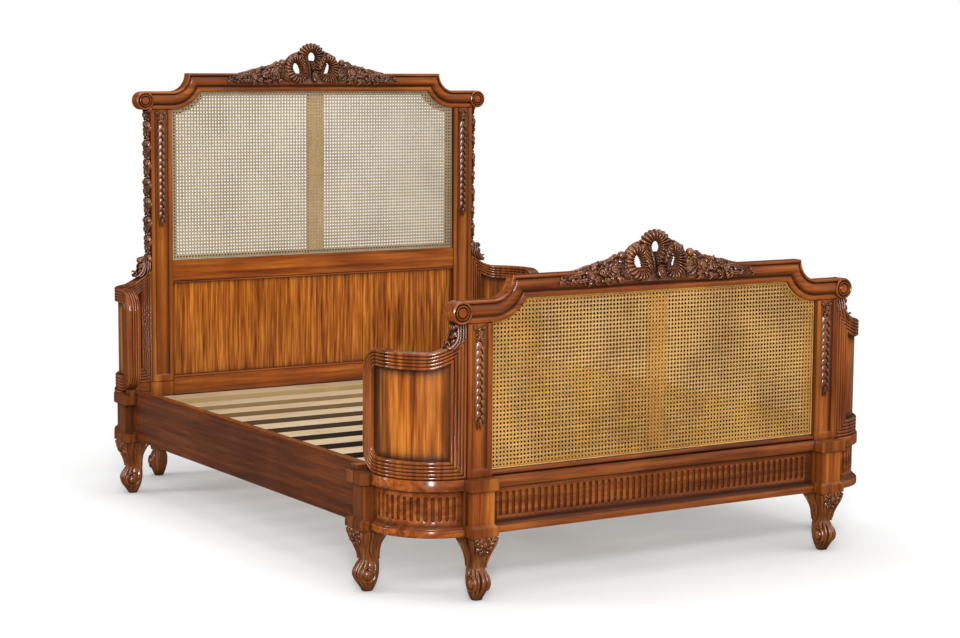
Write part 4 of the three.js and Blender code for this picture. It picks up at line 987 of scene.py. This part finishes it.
# Woven cane
CANE_PITCH = 11.55
STRAND_HALF = 0.88
FOOT_STRAND_HALF = 0.71
# The foot's rear sheet is closed up so that its painted shade fills the holes
CLOSE_STRAND_HALF = 1.75  # the rear sheet that lets no background through
STRAND_CROWN = 0.35
PAIR_OFFSET = 1.28
PAIR_WAVE = 0.2
LEVEL_LIFT = 0.45
DIAGONAL_LIFT, DIAGONAL_STEP = 0.9, 0.25


def cane_top(board, x):
    """Height of the opening's upper edge at x."""
    x = np.abs(x)
    reach = np.sqrt(np.maximum(COVE_OUTER**2 - (COVE_X - x) ** 2, 0))
    return board.rail_top - np.maximum(RAIL_HEIGHT, np.where(x < COVE_X, reach, COVE_OUTER))


def strands(board, starts, direction, steps, height, wave, phase, shift, outward, half):
    """Flat strands of cane through starts in one direction, clipped to the opening."""
    step = np.arange(steps)
    places = starts[:, None] + step[:, None] * direction + shift
    x, z = places[..., 0], places[..., 1]
    inside = (np.abs(x) < OPENING_HALF - 1) & (z > board.cane_bottom + 1) & (z < cane_top(board, x) - 1)
    side = unit(np.array([-direction[1], direction[0]]))
    lift = height + wave * np.cos(np.pi * (step + phase))
    grid = np.stack([points(x + side[0] * offset, lift + crown, z + side[1] * offset)
                     for offset, crown in ((-half, 0), (0, STRAND_CROWN), (half, 0))], 2)
    index = np.arange(grid[..., 0].size).reshape(grid.shape[:3])
    near, far = (index[part][inside[:, :-1] & inside[:, 1:]] for part in (np.s_[:, :-1], np.s_[:, 1:]))
    quads = np.concatenate([np.stack([near[:, row], near[:, row + 1], far[:, row + 1], far[:, row]], -1)
                            for row in (0, 1)])[:, ::-outward]
    used, renumbered = np.unique(quads, return_inverse=True)
    return grid.reshape(-1, 3)[used], [renumbered.reshape(-1, 4)]


def cane_sheet(board, *lay):
    """Six-way weave: upright and level pairs, and single diagonals that leave eight-sided holes."""
    low, high = board.cane_bottom, board.rail_top - RAIL_HEIGHT
    columns, rows = (int(size / CANE_PITCH) + 1 for size in (OPENING_HALF, high - low))
    across = (np.arange(-columns, columns) + 0.5) * CANE_PITCH
    up = low + (np.arange(rows) + 0.5) * CANE_PITCH
    diagonal = (np.arange(-columns - rows, columns + rows) + 0.5) * CANE_PITCH
    tall, wide = rows * 2 + 2, columns * 4
    runs = []  # start x, start z, direction, steps, height, wave, phase
    for offset, phase in ((-PAIR_OFFSET, 0), (PAIR_OFFSET, 1)):
        runs.append((across + offset, low, (0, 1), tall, 0.0, PAIR_WAVE, phase))
        runs.append((-columns * CANE_PITCH, up + offset, (1, 0), wide, LEVEL_LIFT, PAIR_WAVE, phase))
    for slope in SIDES:
        lift = DIAGONAL_LIFT + DIAGONAL_STEP * (slope > 0)
        runs.append((diagonal, low, (slope, 1), tall, lift, DIAGONAL_STEP, 0))
    return [strands(board, np.stack(np.broadcast_arrays(x, z), -1), np.array(way) * CANE_PITCH / 2, *rest, *lay)
            for x, z, way, *rest in runs]


def opening_outline(board, inset):
    """Closed outline of the cane opening, drawn in by inset."""
    edge, turn, radius = OPENING_HALF - inset, np.linspace(0, COVE_TURN, 16), COVE_OUTER + inset
    x = np.minimum(edge, COVE_X - radius * np.sin(turn))
    z = board.rail_top - np.maximum(radius * np.cos(turn), RAIL_HEIGHT + inset)
    right = np.array([(edge, board.cane_bottom + inset), *zip(x, z)])
    return np.concatenate([right, right[::-1] * (-1, 1)])


def hoop(*rows):
    """Closed hoop through outlines, each with its y."""
    return skin(np.stack([points(outline[:, 0], y, outline[:, 1]) for outline, y in rows], 1), loop=True)


def cane_panel(board):
    """Two woven sheets, and the cane edging that covers their groove on the show face."""
    material = f"cane {board.name}"
    show_half = FOOT_STRAND_HALF if board is FOOT else STRAND_HALF
    # The foot's rear sheet is closed up, and its inner faces show painted shade through the front's holes
    shift, rear_half = ((-3.3, 2.5), CLOSE_STRAND_HALF) if board is FOOT else ((-1.6, -0.7), STRAND_HALF)
    for piece, node, lift, *lay in (("cane_woven", board.cane, 1.6, (0, 0), 1, show_half),
                                    ("cane_back_woven", board.cane_back, 0.2, shift, -1, rear_half)):
        front, outward = corners(board.node(node))[0][1], lay[1]
        weave = join(cane_sheet(board, *lay))
        sheet = mapped(weave, lambda x, depth, z: (x, front + lift - outward * depth, z))
        board.build(piece, [sheet], material, node, 180, recalculate=False)
    front = corners(board.node(board.cane))[0][1]
    outer, inner = opening_outline(board, 0.3), opening_outline(board, 3.8)
    edging = hoop((outer, front), (outer, front - 1.4), ((outer + inner) / 2, front - 2.6), (inner, front - 1.4),
                  (inner, front))
    board.build("cane_edging", [edging], material)


def muntin(board):
    """Upright behind the middle of the cane, and the rebate round the opening that carries the sheet."""
    low, high = corners(board.node("centre_muntin"))
    # The head's muntin takes the lightened wood: painted light where the cane shades it
    board.build("muntin_upright", [block(low, high)], "golden" if board is HEAD else "veneer", "centre_muntin")
    outer, inner = opening_outline(board, 0.5), opening_outline(board, 15)
    inner[:, 0] *= (OPENING_HALF - 25) / (OPENING_HALF - 15)
    rebate = hoop((outer, low[1]), (inner, low[1]), (inner, high[1]), (outer, high[1]))
    board.build("cane_rebate", [rebate], "polished X")


def head_boards():
    """Rails over and under the head's lower panel, each with a bead along its edge. The lower one hides its joint."""
    (_, _, z), (_, back, top) = corners("head_bottom_rail")
    front, foot = HEAD.y(POST_BACK) - 1.4, corners("slatted_base")[1][2] + 1
    bottom = [(front, foot), (front, top - 7), (front + 1.4, top - 6), (front - 0.4, top - 4.6),
              (front - 1.2, top - 3), (front - 0.4, top - 1.2), (front + 2, top), (back, top), (back, z + 1),
              (front + 1.5, z + 1), (front + 1.3, foot)]
    (_, front, z), (_, back, top) = corners("head_mid_rail")
    middle = [(front + 2.5, z), (front + 0.6, z + 0.6), (front - 0.2, z + 2.4), (front + 0.6, z + 4.4),
              (front + 3, z + 5.4), (front + 3, z + 6.6), (front + 0.8, z + 7.2), (front, z + 8.4), (front, top - 1.5),
              (front + 0.6, top - 0.5), (front + 2, top), (back, top), (back, z)]
    for name, section in (("bottom", bottom), ("mid", middle)):
        ends = [corner[0] for corner in corners(f"head_{name}_rail")]
        HEAD.build(f"{name}_board", [skin([[(x, y, z) for y, z in section] for x in ends])], "dark X", f"{name}_rail")


# The bed
for board in (FOOT, HEAD):
    crest_rail(board)
    crest_carving(board)
    straight_plinth(board)
    legs(board)
    cane_panel(board)
    muntin(board)
    for side in SIDES:
        post(board, side)
        wing(board, side)
        curved_plinth(board, side)
        softened(board.node("pedestal", side), "polished Z", 1.2, proud=0.34)
        softened(board.node("end_block", side), "polished end", 1.2)
softened("foot_bottom_rail", "polished X", 1.0)
head_boards()
for side in SIDES:
    garland(side)
    FOOT.build("wing_scroll_carved", [wing_scroll(FOOT, side)], "carved", "wing_scroll", 50, side)
softened("head_lower_panel", "veneer head", 1.0)
for name in ("left", "right"):
    softened(f"side_rail_{name}", "dark Y", 1.5)
for name in ("left", "right", "head", "foot"):
    softened(f"ledger_{name}", "pine", 1.0)
softened("slatted_base", "pine", 1.2)

# Floor, light and camera, in metres
FLOOR_HALF, FLOOR_DROP = 40, 0.0005
FLOOR_FADE = 1.35, 2.3  # distances from the bed's middle between which the floor turns into the backdrop
CAMERA_PLACE = (-3.8543, -6.1619, 1.5009)
CAMERA_AIM = (0.53167, 0.83865, -0.11830)
CAMERA_ROLL = math.radians(0.45)


def pale_floor():
    """Pale matt floor near the bed, which fades into the white backdrop further out. It is dark in reflections."""
    n = Nodes(bpy.data.materials.new("pale floor"))
    diffuse = lambda colour: n.add("BsdfDiffuse", Color=colour)[0]
    tint = n.noise((0.6, 0.6, 0.6), 2.0)
    paper = diffuse(n.ramp(tint, (0.3, (0.84, 0.84, 0.84)), (0.7, (0.88, 0.88, 0.88))))
    backdrop = n.add("Emission", Color=(1, 1, 1, 1), Strength=1.0)[0]
    distance = n.add("VectorMath", {"operation": "LENGTH"}, i0=n.place())["Value"]
    far = n.add("MapRange", {"interpolation_type": "SMOOTHSTEP"}, Value=distance, i1=FLOOR_FADE[0], i2=FLOOR_FADE[1])
    paths = n.add("LightPath")
    bounced = n.blend(paths["Is Glossy Ray"], diffuse((0.42, 0.4, 0.38, 1)), diffuse((0.09, 0.08, 0.07, 1)))
    return n.finish(n.blend(paths["Is Camera Ray"], bounced, n.blend(far[0], paper, backdrop)))


def studio(world):
    """White surroundings, brighter from above and from the foot's side, and dim in reflections."""
    n = Nodes(world)
    toward = n.add("VectorMath", {"operation": "DOT_PRODUCT"}, i0=n.add("TexCoord")["Generated"],
                   i1=(0.35, -0.45, 0.8))["Value"]
    strength = n.add("MapRange", Value=toward, From_Min=-0.6, From_Max=1.0, To_Min=0.35, To_Max=1.25)[0]
    mirrored = n.add("MapRange", Value=toward, From_Min=0.2, From_Max=1.0, To_Min=0.04, To_Max=0.6)[0]
    paths = n.add("LightPath")
    level = n.add("Mix", i0=paths["Is Glossy Ray"], i2=strength, i3=mirrored)[0]
    seen = n.add("Mix", i0=paths["Is Camera Ray"], i2=level, i3=1.0)[0]
    return n.finish(n.add("Background", i0=(1, 1, 1, 1), i1=seen)[0], "World")


def aimed(direction):
    return Vector(direction).to_track_quat("-Z", "Y")


def staged(obj):
    bpy.context.scene.collection.objects.link(obj)


def softbox(name, place, target, size, power):
    light = bpy.data.lights.new(name, "AREA")
    light.shape = "RECTANGLE"
    light.size, light.size_y = size
    light.energy = power
    obj = bpy.data.objects.new(name, light)
    obj.location = place
    obj.rotation_euler = aimed(np.subtract(target, place)).to_euler()
    staged(obj)


floor_mesh = bpy.data.meshes.new("floor")
floor_mesh.from_pydata([(x * FLOOR_HALF, y * FLOOR_HALF, -FLOOR_DROP) for x, y in ((-1, -1), (1, -1), (1, 1), (-1, 1))],
                       [], [(0, 1, 2, 3)])
floor_mesh.materials.append(pale_floor())
staged(bpy.data.objects.new("floor", floor_mesh))

bpy.context.scene.world = studio(bpy.data.worlds.new("studio"))
softbox("key", (-3.7, -6.0, 2.3), (-0.3, -1.0, 0.7), (0.8, 3.4), 300)
softbox("left", (-5.3, 2.0, 2.2), (-0.6, 0, 0.7), (0.5, 3.2), 60)
softbox("top", (0, 0.5, 5.0), (0, 0, 0), (4, 4), 60)

camera_data = bpy.data.cameras.new("camera")
camera_data.sensor_width, camera_data.lens, camera_data.clip_end = 36, 83.58, 100
camera = bpy.data.objects.new("camera", camera_data)
bpy.context.scene.collection.objects.link(camera)
bpy.context.scene.camera = camera
turned = aimed(CAMERA_AIM) @ Quaternion((0, 0, 1), CAMERA_ROLL)
camera.matrix_world = Matrix.LocRotScale(Vector(CAMERA_PLACE), turned, None)
bpy.context.scene.view_settings.view_transform = "Standard"
